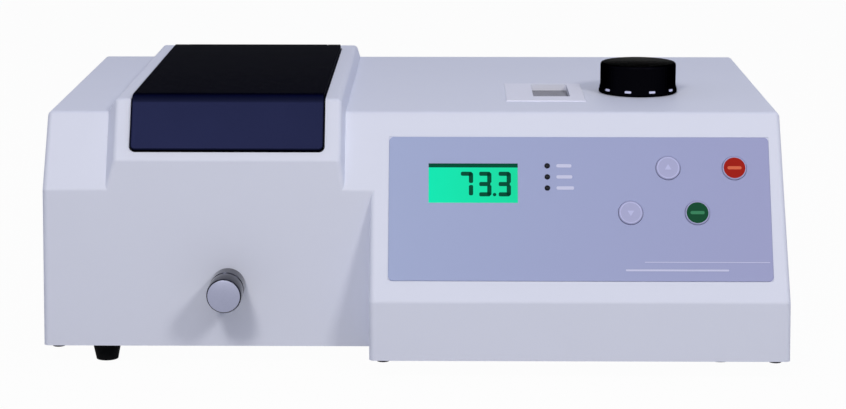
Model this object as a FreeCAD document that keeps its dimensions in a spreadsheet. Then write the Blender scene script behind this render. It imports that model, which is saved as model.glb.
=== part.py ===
import FreeCAD, Part
import math
import os
import Sketcher
from FreeCAD import Placement, Rotation, Vector

# Visible spectrophotometer, single beam, on the bench.
# Frame: +X to the right as the user sees it, +Y to the back, +Z up.
# Origin: on the bench, under the middle of the whole instrument.
# The light runs along X, from the monochromator on the right, through the
# cuvette under the lid, to the photodiode on the left.
# Lengths are in millimetres, angles in degrees.

SIZES = {
    # Casing
    "case_width": 470,
    "case_depth": 312,
    "case_height": 147,
    "case_wall": 3,
    "side_draft_angle": 1.2,
    "foot_height": 13,
    "rear_reach": 8,
    "lip_height": 37.4,
    "slope_angle": 61.5,
    "console_width": 261.6,
    "left_setback": 34.5,
    "case_rounding": 3.6,
    "boss_radius": 6,
    "boss_height": 34,
    "boss_inset": 8.5,
    "stand_radius": 3.5,
    "stand_low": 8,
    "stand_left": 22,
    "stand_right": 10,
    "stand_high": 6,
    "vent_pitch": 9,
    "vent_width": 4,
    "vent_length": 24,
    # Raised surround of the lid
    "lid_from_left": 118.5,
    "hump_left": 76.5,
    "hump_right": 73.8,
    "hump_rise": 9,
    "hump_left_lean": 6,
    "hump_right_lean": 2.7,
    "hump_rear_gap": 4,
    # Lid
    "lid_width": 121.2,
    "lid_proud": 3,
    "lid_thickness": 4,
    "lid_gap": 0.8,
    "lid_flap_low": 95.2,
    "lid_axis_inset": 25,
    "lid_barrel_radius": 2.8,
    "lid_corner_notch": 10,
    "lid_bend_round": 9,
    "lid_trap_depth": 8,
    "lid_trap_wall": 2,
    "lid_trap_gap": 2,
    "lid_corner_round": 3,
    "lid_rim_round": 1,
    "ear_gap": 0.5,
    "hinge_pin_radius": 1.25,
    "hinge_pin_length": 19,
    "pin_clearance": 0.08,
    "seal_thickness": 1.8,
    "seal_width": 5,
    "seal_inset": 1,
    "seal_low_inset": 1.5,
    # Sample chamber
    "chamber_width": 104,
    "chamber_front_inset": 28.5,
    "chamber_back_inset": 40,
    "chamber_floor": 33,
    "chamber_wall": 3,
    "chamber_flange": 132,
    "apron_low": 90.5,
    "flange_back_inset": 10,
    "chamber_leg_side": 11,
    "beam_depth": 65,
    "beam_radius": 6,
    # Cuvette carriage
    "cuvette_count": 4,
    "cuvette_pitch": 15,
    "cuvette_side": 12.5,
    "cuvette_height": 45,
    "cuvette_wall": 1.25,
    "cuvette_fit": 0.1,
    "cuvette_under_beam": 15,
    "rack_width": 34,
    "rack_end": 9,
    "rack_over_beam": 24,
    "rack_port_width": 8,
    "rack_port_height": 10,
    "carriage_width": 80,
    "carriage_low": 39,
    "carriage_top": 60,
    "carriage_end": 11,
    "rail_radius": 3,
    "rail_spread": 32,
    "rail_height": 45,
    "rail_seat": 1.5,
    "running_clearance": 0.06,
    "rod_height": 53.5,
    "rod_radius": 3.5,
    "rod_screw_in": 15,
    "rod_port_gap": 0.6,
    "channel_width": 50,
    "channel_top": 47,
    "knob_radius": 10.9,
    "knob_length": 31,
    "knob_reach": 33,
    "knob_chamfer": 0.9,
    "bush_flange": 1.5,
    "bush_flange_radius": 9,
    "bush_radius": 6.5,
    "nut_height": 3.2,
    # Control panel and display
    "panel_margin": 11,
    "panel_width": 239,
    "panel_low": 13.6,
    "panel_length": 94.3,
    "panel_thickness": 0.9,
    "panel_recess": 0.5,
    "panel_corner": 3,
    "panel_gap": 0.2,
    "display_inset": 25,
    "display_low": 64.3,
    "display_width": 56,
    "display_length": 25.9,
    "display_depth": 6,
    "display_frame": 5,
    "display_sink": 0.3,
    "button_radius": 7.6,
    "button_gap": 0.3,
    "button_travel": 0.8,
    "button_proud": 1,
    "button_flange": 1.6,
    "button_flange_thickness": 1,
    "button_rest_gap": 0.1,
    "button_stem_radius": 3.5,
    "button_stem": 2.2,
    "button_edge": 0.5,
    "tact_side": 12,
    "tact_height": 3.4,
    "tact_plunger_radius": 3,
    "tact_gap": 0.1,
    "key_left_inset": 63.7,
    "key_right_inset": 22.1,
    "key_shift": 24,
    "key_high": 87.3,
    "key_low": 57.9,
    "indicator_radius": 1.8,
    "indicator_gap": 18.5,
    "indicator_middle": 81.4,
    "indicator_pitch": 7.3,
    "board_thickness": 1.6,
    "display_board_depth": 12,
    "board_left_inset": 14,
    "board_right_inset": 3,
    "board_low_inset": 1,
    "header_depth": 3,
    # Wavelength drive
    "dial_x": 148.8,
    "dial_y": -17,
    "dial_radius": 61,
    "dial_thickness": 1.5,
    "dial_sink": 9,
    "dial_shaft_radius": 4,
    "dial_shaft_gap": 1.5,
    "dial_shaft_stub": 2,
    "dial_hub_radius": 12,
    "dial_rest_gap": 0.2,
    "bearing_radius": 8,
    "bearing_collar": 3,
    "bearing_height": 4,
    "grip_bore_depth": 12,
    "grip_edge": 1.5,
    "grip_radius": 25.1,
    "grip_flange_radius": 26,
    "grip_flange": 1.6,
    "grip_skirt": 3.6,
    "grip_height": 20.2,
    "grip_gap": 0.4,
    "window_left": 76.6,
    "window_right": 104,
    "window_front": -44,
    "window_back": 10,
    "window_depth": 3.2,
    "bezel_front_margin": 16,
    "bezel_back_margin": 4,
    "bezel_left_margin": 16.6,
    "bezel_right_margin": 8,
    "bezel_height": 0.8,
    "bezel_bevel": 0.6,
    "window_rim": 1.5,
    "window_glass": 1.5,
    "window_gap": 0.1,
    # Monochromator
    "mono_right_inset": 43,
    "mono_front_inset": 88,
    "mono_under_beam": 33,
    "mono_over_beam": 33,
    "mono_wall": 4,
    "mono_cover": 3,
    "grating_x": 20,
    "grating_y": -25,
    "grating_swing_angle": 8,
    "dial_swing_angle": 300,
    "roller_radius": 5,
    "roller_thickness": 5,
    "cam_thickness": 6,
    "cam_gap": 0.1,
    "cam_least": 12,
    "cam_top_gap": 1,
    "arm_width": 10,
    "arm_thickness": 3,
    "arm_hub_radius": 7,
    "arm_headroom": 4,
    "pivot_radius": 3,
    "pivot_socket": 3,
    "roller_pin_radius": 1.5,
    "roller_end_gap": 0.6,
    "table_radius": 18,
    "table_thickness": 4,
    "table_gap": 0.3,
    "grating_side": 30,
    "grating_height": 30,
    "grating_thickness": 6,
    "mirror_radius": 17,
    "mirror_thickness": 6,
    "mirror_bowl": 1.2,
    "mirror_curve": 120,
    "mirror_pad": 4,
    "mirror_inset": 22,
    "fold_side": 20,
    "fold_thickness": 3,
    "fold_stand": 14,
    "fold_angle": 45,
    "slit_side": 16,
    "slit_blade": 1.5,
    "slit_width": 1,
    "tube_radius": 9,
    "exit_tube_length": 5.5,
    "lens_tube_length": 9,
    # Lamp house
    "lamp_x": 60,
    "lamp_inset": 47,
    "lamp_house_width": 66,
    "lamp_house_depth": 72,
    "lamp_under_beam": 35,
    "lamp_over_beam": 35,
    "sheet_gauge": 1.5,
    "lens_radius": 9.5,
    "lens_curve": 20,
    "lens_thickness": 5,
    "bulb_radius": 5.5,
    "bulb_length": 24,
    "holder_radius": 11,
    "holder_height": 20,
    "pillar_inset": 12,
    # Detector
    "detector_inset": 9,
    "detector_width": 48,
    "diode_radius": 4.1,
    "diode_length": 6,
    "diode_rim": 0.5,
    "diode_rim_height": 1,
    "detector_board_inset": 20,
    # Circuit boards
    "board_lift": 8,
    "board_foot_radius": 3,
    "board_foot_inset": 5,
    "main_board_left": -40,
    "main_board_front": -56,
    "main_board_width": 172,
    "main_board_depth": 100,
    "chip_width": 20,
    "chip_length": 10,
    "chip_height": 4,
    "chip_pitch": 38,
    "power_board_left": -50,
    "power_board_inset": 28,
    "power_board_width": 66,
    "power_board_depth": 56,
    "capacitor_radius": 9,
    "capacitor_height": 28,
    "capacitor_pitch": 22,
    # Power supply and rear fittings
    "transformer_right_inset": 55,
    "transformer_back_inset": 26,
    "core_width": 62,
    "core_depth": 50,
    "core_height": 52,
    "core_leg": 11,
    "rear_panel_margin": 7,
    "rear_opening_left": -100,
    "rear_opening_right": 125,
    "rear_opening_low": 9,
    "rear_opening_high": 92,
    "fitting_height": 40,
    "fitting_flange": 2,
    "inlet_x": -62,
    "inlet_width": 27,
    "inlet_height": 20,
    "inlet_flange": 6,
    "inlet_depth": 20,
    "inlet_wall": 2,
    "inlet_back": 3,
    "pin_recess": 6,
    "pin_width": 2,
    "pin_height": 4,
    "pin_spread": 7,
    "pin_drop": 1.5,
    "earth_pin_rise": 2.5,
    "fuse_x": -20,
    "fuse_radius": 6,
    "fuse_depth": 24,
    "fuse_cap": 5,
    "fuse_cap_rim": 2,
    "switch_x": 10,
    "switch_width": 19,
    "switch_height": 26,
    "switch_depth": 16,
    "switch_lip": 1.5,
    "rocker_gap": 0.7,
    "rocker_pivot_radius": 1.2,
    "rocker_crown": 3,
    "rocker_tilt": 9,
    "sink_x": 75,
    "sink_width": 84,
    "sink_base": 3,
    "sink_low_inset": 14,
    "sink_high_inset": 6,
    "fin_thickness": 1.6,
    # Chassis
    "base_gauge": 2,
    "base_gap": 0.5,
    "foot_side_inset": 37.8,
    "foot_front_inset": 52.7,
    "foot_back_inset": 32,
    "foot_low_radius": 7,
    "foot_recess_radius": 4.5,
    "foot_top_radius": 9.6,
    "screw_radius": 2,
    "screw_head_radius": 3.9,
    "screw_head": 2.2,
    "screw_length": 16,
    "pillar_radius": 4,
}

doc = FreeCAD.newDocument("visible_spectrophotometer")
sheet = doc.addObject("Spreadsheet::Sheet", "Sizes")
for row, (alias, number) in enumerate(SIZES.items(), start=1):
    sheet.set("A%d" % row, alias)
    sheet.set("B%d" % row, str(number))
    sheet.setAlias("B%d" % row, alias)
doc.recompute()


class Size:
    """A length or angle, held as the expression on the sheet that gives it."""

    def __init__(self, text, number):
        self.text = text
        self.number = number

    def __float__(self):
        return float(self.number)

    def __add__(self, other):
        other = as_size(other)
        return Size("(%s + %s)" % (self.text, other.text), self.number + other.number)

    def __sub__(self, other):
        other = as_size(other)
        return Size("(%s - %s)" % (self.text, other.text), self.number - other.number)

    def __mul__(self, other):
        other = as_size(other)
        return Size("(%s * %s)" % (self.text, other.text), self.number * other.number)

    def __truediv__(self, other):
        other = as_size(other)
        return Size("(%s / %s)" % (self.text, other.text), self.number / other.number)

    def __neg__(self):
        return Size("(-%s)" % self.text, -self.number)

    def __radd__(self, other):
        return as_size(other) + self

    def __rsub__(self, other):
        return as_size(other) - self

    def __rmul__(self, other):
        return as_size(other) * self


def as_size(item):
    """Let a plain number stand beside sizes in a sum."""
    return item if isinstance(item, Size) else Size("(%r)" % item, item)


def sized(alias):
    """The sheet cell of that name."""
    return Size("Sizes.%s" % alias, SIZES[alias])


def sine(angle):
    return Size("sin(%s)" % angle.text, math.sin(math.radians(angle.number)))


def cosine(angle):
    return Size("cos(%s)" % angle.text, math.cos(math.radians(angle.number)))


def tangent(angle):
    return Size("tan(%s)" % angle.text, math.tan(math.radians(angle.number)))


def bind(target, prop, size):
    """Tie one property of an object to the sheet."""
    target.setExpression(prop, as_size(size).text)


ALONG = {"x": Rotation(Vector(0, 1, 0), 90), "y": Rotation(Vector(1, 0, 0), -90), "z": Rotation()}
parts = []


def place(target, x=0, y=0, z=0):
    """Tie where an object stands to the sheet."""
    bind(target, "Placement.Base.x", x)
    bind(target, "Placement.Base.y", y)
    bind(target, "Placement.Base.z", z)
    return target


def place_on_slope(target):
    """Lay an object made in the slope's own frame (x, along, out) on the slope."""
    target.Placement = Placement(Vector(), Rotation(Vector(1, 0, 0), float(slope)))
    bind(target, "Placement.Rotation.Angle", slope)
    return place(target, 0, front, lip_top)


def stand_on_slope(target, x, along, out):
    """Stand an object made about its own Z on the slope, with its Z out of the slope."""
    target.Placement = Placement(Vector(), Rotation(Vector(1, 0, 0), float(slope)))
    bind(target, "Placement.Rotation.Angle", slope)
    y, z = slope_point(along, out)
    return place(target, x, y, z)


def keep(target, name):
    """Name a finished sub-part."""
    target.Label = name
    parts.append(target)
    return target


def box(name, x, y, z):
    """Block between two places on each axis."""
    solid = doc.addObject("Part::Box", name)
    bind(solid, "Length", x[1] - x[0])
    bind(solid, "Width", y[1] - y[0])
    bind(solid, "Height", z[1] - z[0])
    return place(solid, x[0], y[0], z[0])


def about(middle, breadth):
    """The two ends of a breadth that is centred on a place."""
    return as_size(middle) - as_size(breadth) / 2, as_size(middle) + as_size(breadth) / 2


def cylinder(name, radius, length, x=0, y=0, z=0, along="z"):
    solid = doc.addObject("Part::Cylinder", name)
    bind(solid, "Radius", radius)
    bind(solid, "Height", length)
    solid.Placement = Placement(Vector(), ALONG[along])
    return place(solid, x, y, z)


def hex_post(name, radius, length, x, y, z):
    """Six-sided stand-off; the radius reaches its corners."""
    post = doc.addObject("Part::Prism", name)
    post.Polygon = 6
    bind(post, "Circumradius", radius)
    bind(post, "Height", length)
    return place(post, x, y, z)


def fuse(name, solids):
    if len(solids) == 1:
        return solids[0]
    whole = doc.addObject("Part::MultiFuse", name)
    whole.Shapes = solids
    return whole


def cut(name, base, tools):
    whole = doc.addObject("Part::Cut", name)
    whole.Base = base
    whole.Tool = fuse(name + "_tools", tools)
    return whole


def group(name, solids):
    """Separate solids that share one node."""
    whole = doc.addObject("Part::Compound", name + "_group")
    whole.Links = solids
    return keep(whole, name)


def new_body(name):
    return keep(doc.addObject("PartDesign::Body", name + "_body"), name)


def sketch_on(body, role, name, shift=None, turn=None, base=None):
    """Sketch on one of the body's own planes, moved along the normal by shift."""
    plane = [item for item in body.Origin.OriginFeatures if item.Role == role][0]
    sketch = body.newObject("Sketcher::SketchObject", name)
    sketch.AttachmentSupport = [(plane, "")]
    sketch.MapMode = "FlatFace"
    if turn is not None:
        sketch.AttachmentOffset = Placement(Vector(), Rotation(Vector(1, 0, 0), float(turn)))
        bind(sketch, "AttachmentOffset.Rotation.Angle", turn)
    if base is not None:
        bind(sketch, "AttachmentOffset.Base.x", base[0])
        bind(sketch, "AttachmentOffset.Base.y", base[1])
        bind(sketch, "AttachmentOffset.Base.z", base[2])
    if shift is not None:
        bind(sketch, "AttachmentOffset.Base.z", shift)
    return sketch


def tie(sketch, kind, first, second, size):
    """One distance of a sketch from its origin, bound to the sheet."""
    number = sketch.addConstraint(Sketcher.Constraint(kind, -1, 1, first, second, float(size)))
    sketch.setExpression("Constraints[%d]" % number, as_size(size).text)


def outline(sketch, points):
    """Closed outline of straight edges through the points."""
    points = [(as_size(x), as_size(y)) for x, y in points]
    start = sketch.GeometryCount
    count = len(points)
    flat = [Vector(float(x), float(y), 0) for x, y in points]
    for index in range(count):
        sketch.addGeometry(Part.LineSegment(flat[index], flat[(index + 1) % count]), False)
    for index in range(count):
        following = start + (index + 1) % count
        sketch.addConstraint(Sketcher.Constraint("Coincident", start + index, 2, following, 1))
    for index, (x, y) in enumerate(points):
        tie(sketch, "DistanceX", start + index, 1, x)
        tie(sketch, "DistanceY", start + index, 1, y)
    return sketch


def rectangle(sketch, x, y):
    return outline(sketch, [(x[0], y[0]), (x[1], y[0]), (x[1], y[1]), (x[0], y[1])])


def circle(sketch, x, y, radius):
    number = sketch.addGeometry(Part.Circle(Vector(float(x), float(y), 0), Vector(0, 0, 1),
                                            float(radius)), False)
    tie(sketch, "DistanceX", number, 3, x)
    tie(sketch, "DistanceY", number, 3, y)
    limit = sketch.addConstraint(Sketcher.Constraint("Radius", number, float(radius)))
    sketch.setExpression("Constraints[%d]" % limit, as_size(radius).text)
    return sketch


def pad(body, sketch, length, both_ways=False, reverse=False):
    feature = body.newObject("PartDesign::Pad", sketch.Name + "_pad")
    feature.Profile = sketch
    feature.SideType = "Symmetric" if both_ways else "One side"
    feature.Reversed = reverse
    bind(feature, "Length", length)
    return feature


def pocket(body, sketch, length=None, both_ways=False, reverse=False):
    """Cut the sketch away, through everything unless a length is given."""
    feature = body.newObject("PartDesign::Pocket", sketch.Name + "_cut")
    feature.Profile = sketch
    feature.SideType = "Symmetric" if both_ways else "One side"
    feature.Reversed = reverse
    if length is None:
        feature.Type = "ThroughAll"
    else:
        bind(feature, "Length", length)
    return feature


def turned(body, name, points, x=0, y=0, z=0, hollow=False):
    """Solid turned about the body's Z axis from a profile of (radius, height)."""
    profile = sketch_on(body, "XZ_Plane", name)
    outline(profile, points)
    feature = body.newObject("PartDesign::Groove" if hollow else "PartDesign::Revolution",
                             name + "_turned")
    feature.Profile = profile
    feature.ReferenceAxis = (profile, ["V_Axis"])
    feature.Angle = 360
    return feature


def edges_where(feature, test):
    """Names of the edges of a feature that pass a test."""
    return ["Edge%d" % number for number, edge in enumerate(feature.Shape.Edges, start=1)
            if test(edge)]


def round_edges(body, name, radius, test):
    """Fillet the edges of the body so far that pass the test."""
    doc.recompute()
    base = body.Tip
    feature = body.newObject("PartDesign::Fillet", name)
    feature.Base = (base, edges_where(base, test))
    bind(feature, "Radius", radius)
    return feature


def middle_of(edge):
    return edge.valueAt((edge.FirstParameter + edge.LastParameter) / 2)


def is_straight(edge):
    chord = edge.Vertexes[-1].Point - edge.Vertexes[0].Point
    return abs(chord.Length - edge.Length) < 1e-6 and edge.Length > 1e-3


def runs_along(edge, axis):
    """Whether an edge is straight and parallel to an axis."""
    if not is_straight(edge):
        return False
    chord = edge.Vertexes[-1].Point - edge.Vertexes[0].Point
    return abs(abs(chord.dot(axis)) / chord.Length - 1) < 1e-6


X_AXIS = Vector(1, 0, 0)
Z_AXIS = Vector(0, 0, 1)

VENT_COUNT = 9
LAMP_SLOTS = 5
FINS = 13
CHIPS = 3
CAPACITORS = 2
CAM_ARCS = 11
CAM_FALL_ARCS = 3
CAM_LEAD = 0.05
CUVETTES = int(SIZES["cuvette_count"])

INDICATORS = [sized("indicator_middle") + sized("indicator_pitch") * step for step in (1, 0, -1)]

# Places that many pieces share
half_width = sized("case_width") / 2
front = -(sized("case_depth") + sized("rear_reach")) / 2
case_back = front + sized("case_depth")
floor = sized("foot_height")
roof = floor + sized("case_height")
wall = sized("case_wall")
slope = sized("slope_angle")
lip_top = floor + sized("lip_height")
slope_length = (roof - lip_top) / sine(slope)
left_front = front + sized("left_setback")
console_left = half_width - sized("console_width")
hump_roof = roof + sized("hump_rise")
hump_back = case_back - sized("hump_rear_gap")
spare = 5

lid_middle = sized("lid_from_left") - half_width
lid_roof = hump_roof + sized("lid_proud")
lid_half = sized("lid_width") / 2
lid_out = sized("hump_rise") + sized("lid_proud")
lid_axis_y = case_back - sized("lid_axis_inset")
lid_axis_z = lid_roof - sized("lid_barrel_radius")
lid_back = lid_axis_y + sized("lid_barrel_radius")

chamber_half = sized("chamber_width") / 2
chamber_outer_half = chamber_half + sized("chamber_wall")
chamber_front = left_front + sized("chamber_front_inset")
chamber_back = case_back - sized("chamber_back_inset")
chamber_front_out = chamber_front - sized("chamber_wall")
chamber_back_out = chamber_back + sized("chamber_wall")
chamber_left_out = lid_middle - chamber_outer_half
chamber_right_out = lid_middle + chamber_outer_half
flange_back = case_back - sized("flange_back_inset")
chamber_low = sized("chamber_floor") - sized("chamber_wall")
flange_out = sized("hump_rise") - wall
flange_top = roof + flange_out
plate_top = floor + sized("base_gauge")

beam_y = as_size(0)
beam_z = roof - sized("beam_depth")
cuvette_low = beam_z - sized("cuvette_under_beam")
rack_top = beam_z + sized("rack_over_beam")

panel_right = half_width - sized("panel_margin")
panel_left = panel_right - sized("panel_width")
panel_high = sized("panel_low") + sized("panel_length")
panel_face = sized("panel_thickness") - sized("panel_recess")
display_left = panel_left + sized("display_inset")
display_x = (display_left, display_left + sized("display_width"))
display_s = (sized("display_low"), sized("display_low") + sized("display_length"))
indicator_x = display_x[1] + sized("indicator_gap")
key_left = panel_right - sized("key_left_inset")
key_right = panel_right - sized("key_right_inset")
BUTTONS = {
    "button_up": (key_left, sized("key_high")),
    "button_down": (key_left - sized("key_shift"), sized("key_low")),
    "button_red": (key_right, sized("key_high")),
    "button_green": (key_right - sized("key_shift"), sized("key_low")),
}

window_x = (sized("window_left"), sized("window_right"))
window_y = (sized("window_front"), sized("window_back"))
window_floor = roof - sized("window_depth")
bezel_x = (window_x[0] - sized("bezel_left_margin"), window_x[1] + sized("bezel_right_margin"))
bezel_y = (window_y[0] - sized("bezel_front_margin"), window_y[1] + sized("bezel_back_margin"))
shaft_hole_radius = sized("dial_shaft_radius") + sized("dial_shaft_gap")
rear_opening_x = (sized("rear_opening_left"), sized("rear_opening_right"))
rear_opening_z = (floor + sized("rear_opening_low"), floor + sized("rear_opening_high"))
rail_length = chamber_back - chamber_front + sized("rail_seat") * 2
trap_low = flange_top - sized("lid_trap_depth")
seal_low = sized("lid_flap_low") + sized("seal_low_inset")
button_foot = -(wall + sized("button_rest_gap") + sized("button_flange_thickness")
                + sized("button_stem"))
shaft_top = roof + sized("grip_bore_depth")
mono_wall = sized("mono_wall")
mono_low = beam_z - sized("mono_under_beam")
mono_top = beam_z + sized("mono_over_beam")
mono_floor = mono_low + mono_wall
mono_roof = mono_top + sized("mono_cover")
bearing_top = mono_roof + sized("bearing_height")
arm_low = mono_top - sized("arm_headroom") - sized("arm_thickness")
cam_low = arm_low - sized("cam_top_gap") - sized("cam_thickness")
lamp_y = case_back - sized("lamp_inset")
lamp_house_front = lamp_y - sized("lamp_house_depth") / 2
lamp_house_low = beam_z - sized("lamp_under_beam")
lamp_house_top = beam_z + sized("lamp_over_beam")
mono_left = chamber_right_out + sized("exit_tube_length")
mono_right = half_width - sized("mono_right_inset")
mono_front = front + sized("mono_front_inset")
mirror_places = (mono_front + sized("mirror_inset"), beam_y)
fold_y = mirror_places[0]
mono_back = lamp_house_front - sized("lens_tube_length")
detector_left = -half_width + sized("detector_inset")
detector_board_x = detector_left + sized("detector_board_inset")
main_board_x = (sized("main_board_left"), sized("main_board_left") + sized("main_board_width"))
main_board_y = (sized("main_board_front"), sized("main_board_front") + sized("main_board_depth"))
power_board_x = (sized("power_board_left"),
                 sized("power_board_left") + sized("power_board_width"))
power_board_back = case_back - sized("power_board_inset")
power_board_y = (power_board_back - sized("power_board_depth"), power_board_back)
rear_panel_face = case_back - wall
transformer_right = half_width - sized("transformer_right_inset")
transformer_x = (transformer_right - sized("core_width"), transformer_right)
transformer_back = case_back - sized("transformer_back_inset")
transformer_y = (transformer_back - sized("core_depth"), transformer_back)
arm_reach = Vector(float(sized("dial_x") - sized("grating_x")),
                   float(sized("dial_y") - sized("grating_y") + sized("cam_least")
                         + sized("cam_gap") + sized("roller_radius")), 0)
arm_length = arm_reach.Length
arm_rest_angle = math.degrees(math.atan2(arm_reach.y, arm_reach.x))
seal_back = chamber_back + sized("seal_inset") + sized("seal_width")
stand_places = [(x, along) for x in (panel_left + sized("stand_left"),
                                     panel_right - sized("stand_right"))
                for along in (sized("panel_low") + sized("stand_low"),
                              panel_high - sized("stand_high"))]

foot_places = [((half_width - sized("foot_side_inset")) * sign, y) for sign in (-1, 1)
               for y in (front + sized("foot_front_inset"),
                         case_back - sized("foot_back_inset"))]
boss_in = sized("boss_inset")
boss_places = [
    (-half_width + boss_in, left_front + boss_in),
    (-half_width + boss_in, case_back - boss_in),
    (half_width - boss_in, front + boss_in),
    (half_width - boss_in, case_back - boss_in),
    (console_left + boss_in, front + boss_in),
]


def slope_point(along, out):
    """Y and Z of a point along the slope and out from its face."""
    along = as_size(along)
    out = as_size(out)
    return (front + along * cosine(slope) - out * sine(slope),
            lip_top + along * sine(slope) + out * cosine(slope))


def bend_point(out):
    """Y and Z where a skin that lies out from both the slope and the roof has its bend."""
    out = as_size(out)
    height = roof + out
    return front + (height - lip_top) / tangent(slope) - out / sine(slope), height


def bent_strip(sketch, low, back, inner, outer):
    """Outline of a skin that follows the slope and the roof between two offsets."""
    return outline(sketch, [slope_point(low, outer), bend_point(outer), (back, roof + outer),
                            (back, roof + inner), bend_point(inner), slope_point(low, inner)])


def cover_outer(body):
    """Casing as a full block: drafted sides, console slope, left step and lid surround."""
    face = sketch_on(body, "XZ_Plane", "cover_front", shift=-case_back)
    top_half = half_width - sized("case_height") * tangent(sized("side_draft_angle"))
    outline(face, [(-half_width, floor), (half_width, floor), (top_half, roof), (-top_half, roof)])
    pad(body, face, sized("case_depth"))
    side = sketch_on(body, "YZ_Plane", "cover_slope")
    high = slope_point(slope_length + spare, 0)
    outline(side, [slope_point(0, 0), high, (front - spare, high[1]), (front - spare, lip_top)])
    pocket(body, side, both_ways=True)
    step = sketch_on(body, "XY_Plane", "cover_left_step")
    rectangle(step, (-half_width - spare, console_left), (front - spare, left_front))
    pocket(body, step, both_ways=True)
    rise = sized("hump_rise")
    meet = lip_top + (left_front - front + rise / sine(slope)) * tangent(slope)
    base = (lid_middle - sized("hump_left"), lid_middle + sized("hump_right"))
    hump = sketch_on(body, "YZ_Plane", "hump_side", shift=base[0])
    core = roof / 2
    outline(hump, [(left_front, core), (left_front, meet), bend_point(rise),
                   (hump_back, hump_roof), (hump_back, core)])
    pad(body, hump, base[1] - base[0])
    over = rise + spare
    crest = (base[0] + sized("hump_left_lean") * (over / rise),
             base[1] - sized("hump_right_lean") * (over / rise))
    for name, level, options in (
            ("hump_lean_roof", roof, {}),
            ("hump_lean_slope", as_size(0), {"turn": slope, "base": (0, lip_top, -front)})):
        flank = sketch_on(body, "XZ_Plane", name, **options)
        for low, high in zip(base, crest):
            outline(flank, [(low, level), (high, level + over), (low, level + over)])
        pocket(body, flank, both_ways=True)


def cover_shell(body):
    """Hollow the casing to its wall, open underneath."""
    doc.recompute()
    solid = body.Tip
    shell = body.newObject("PartDesign::Thickness", "cover_shell")
    shell.Base = (solid, ["Face%d" % number for number, face in enumerate(solid.Shape.Faces, 1)
                          if abs(face.CenterOfMass.z - float(floor)) < 0.01])
    shell.Mode = 0
    shell.Join = 1
    shell.Reversed = True
    bind(shell, "Value", wall)


def out_from_slope(point):
    """How far a point lies out from the plane of the slope."""
    low = slope_point(0, 0)
    back = point.y - float(low[0])
    up = point.z - float(low[1])
    return up * float(cosine(slope)) - back * float(sine(slope))


def on_outside(point):
    """Whether a point lies on the outer skin of the casing."""
    near = 0.02
    draft = float(tangent(sized("side_draft_angle")))
    side = float(half_width) - (point.z - float(floor)) * draft
    out = out_from_slope(point)
    rise = float(sized("hump_rise"))
    return (abs(abs(point.x) - side) < near
            or abs(point.y - float(case_back)) < near
            or abs(point.y - float(front)) < near
            or abs(point.y - float(left_front)) < near
            or abs(point.z - float(roof)) < near
            or abs(point.z - float(hump_roof)) < near
            or abs(out) < near
            or abs(out - rise) < near)


def sticks_out(solid, edge):
    """Whether the two faces at an edge make an outward corner."""
    point = middle_of(edge)
    normals = []
    for face in solid.Faces:
        if any(side.isSame(edge) for side in face.Edges):
            normals.append(face.normalAt(*face.Surface.parameter(point)))
    step = 0.3
    inward = solid.isInside(point - (normals[0] + normals[1]) * step, 0.0001, False)
    across = solid.isInside(point + (normals[0] - normals[1]) * step, 0.0001, False)
    return inward and not across


def outer_corner(edge):
    """Whether an edge is on the outer skin of the casing, above its open underside."""
    return edge.BoundBox.ZMax > float(floor) + 0.1 and on_outside(middle_of(edge))


def roof_front(edge):
    """Whether an edge is where the slope meets the roof."""
    return runs_along(edge, X_AXIS) and abs(middle_of(edge).z - float(roof)) < 0.02 \
        and middle_of(edge).y < 0


def round_cover(body):
    """Round the outward corners of the casing, the top of the slope last."""
    doc.recompute()
    solid = body.Tip.Shape
    round_edges(body, "cover_corners", sized("case_rounding"),
                lambda edge: outer_corner(edge) and not roof_front(edge)
                and sticks_out(solid, edge))
    round_edges(body, "cover_roof_front", sized("case_rounding"),
                lambda edge: roof_front(edge) and outer_corner(edge))


def slope_plane(out):
    """Sketch turn and origin for a plane that lies out from the slope."""
    y, z = slope_point(0, out)
    return {"turn": slope, "base": (as_size(0), y, z)}


def cover_seats(body):
    """Screw bosses inside the cover and the stands of the display board."""
    bosses = sketch_on(body, "XY_Plane", "cover_bosses", shift=plate_top)
    for x, y in boss_places:
        circle(bosses, x, y, sized("boss_radius"))
    pad(body, bosses, sized("boss_height"))
    bores = sketch_on(body, "XY_Plane", "cover_boss_bores", shift=plate_top)
    for x, y in boss_places:
        circle(bores, x, y, sized("screw_radius"))
    pocket(body, bores, sized("screw_length"), reverse=True)
    stands = sketch_on(body, "XY_Plane", "cover_stands",
                       **slope_plane(-sized("display_board_depth")))
    for x, along in stand_places:
        circle(stands, x, along, sized("stand_radius"))
    pad(body, stands, sized("display_board_depth") - wall / 2)


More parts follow.
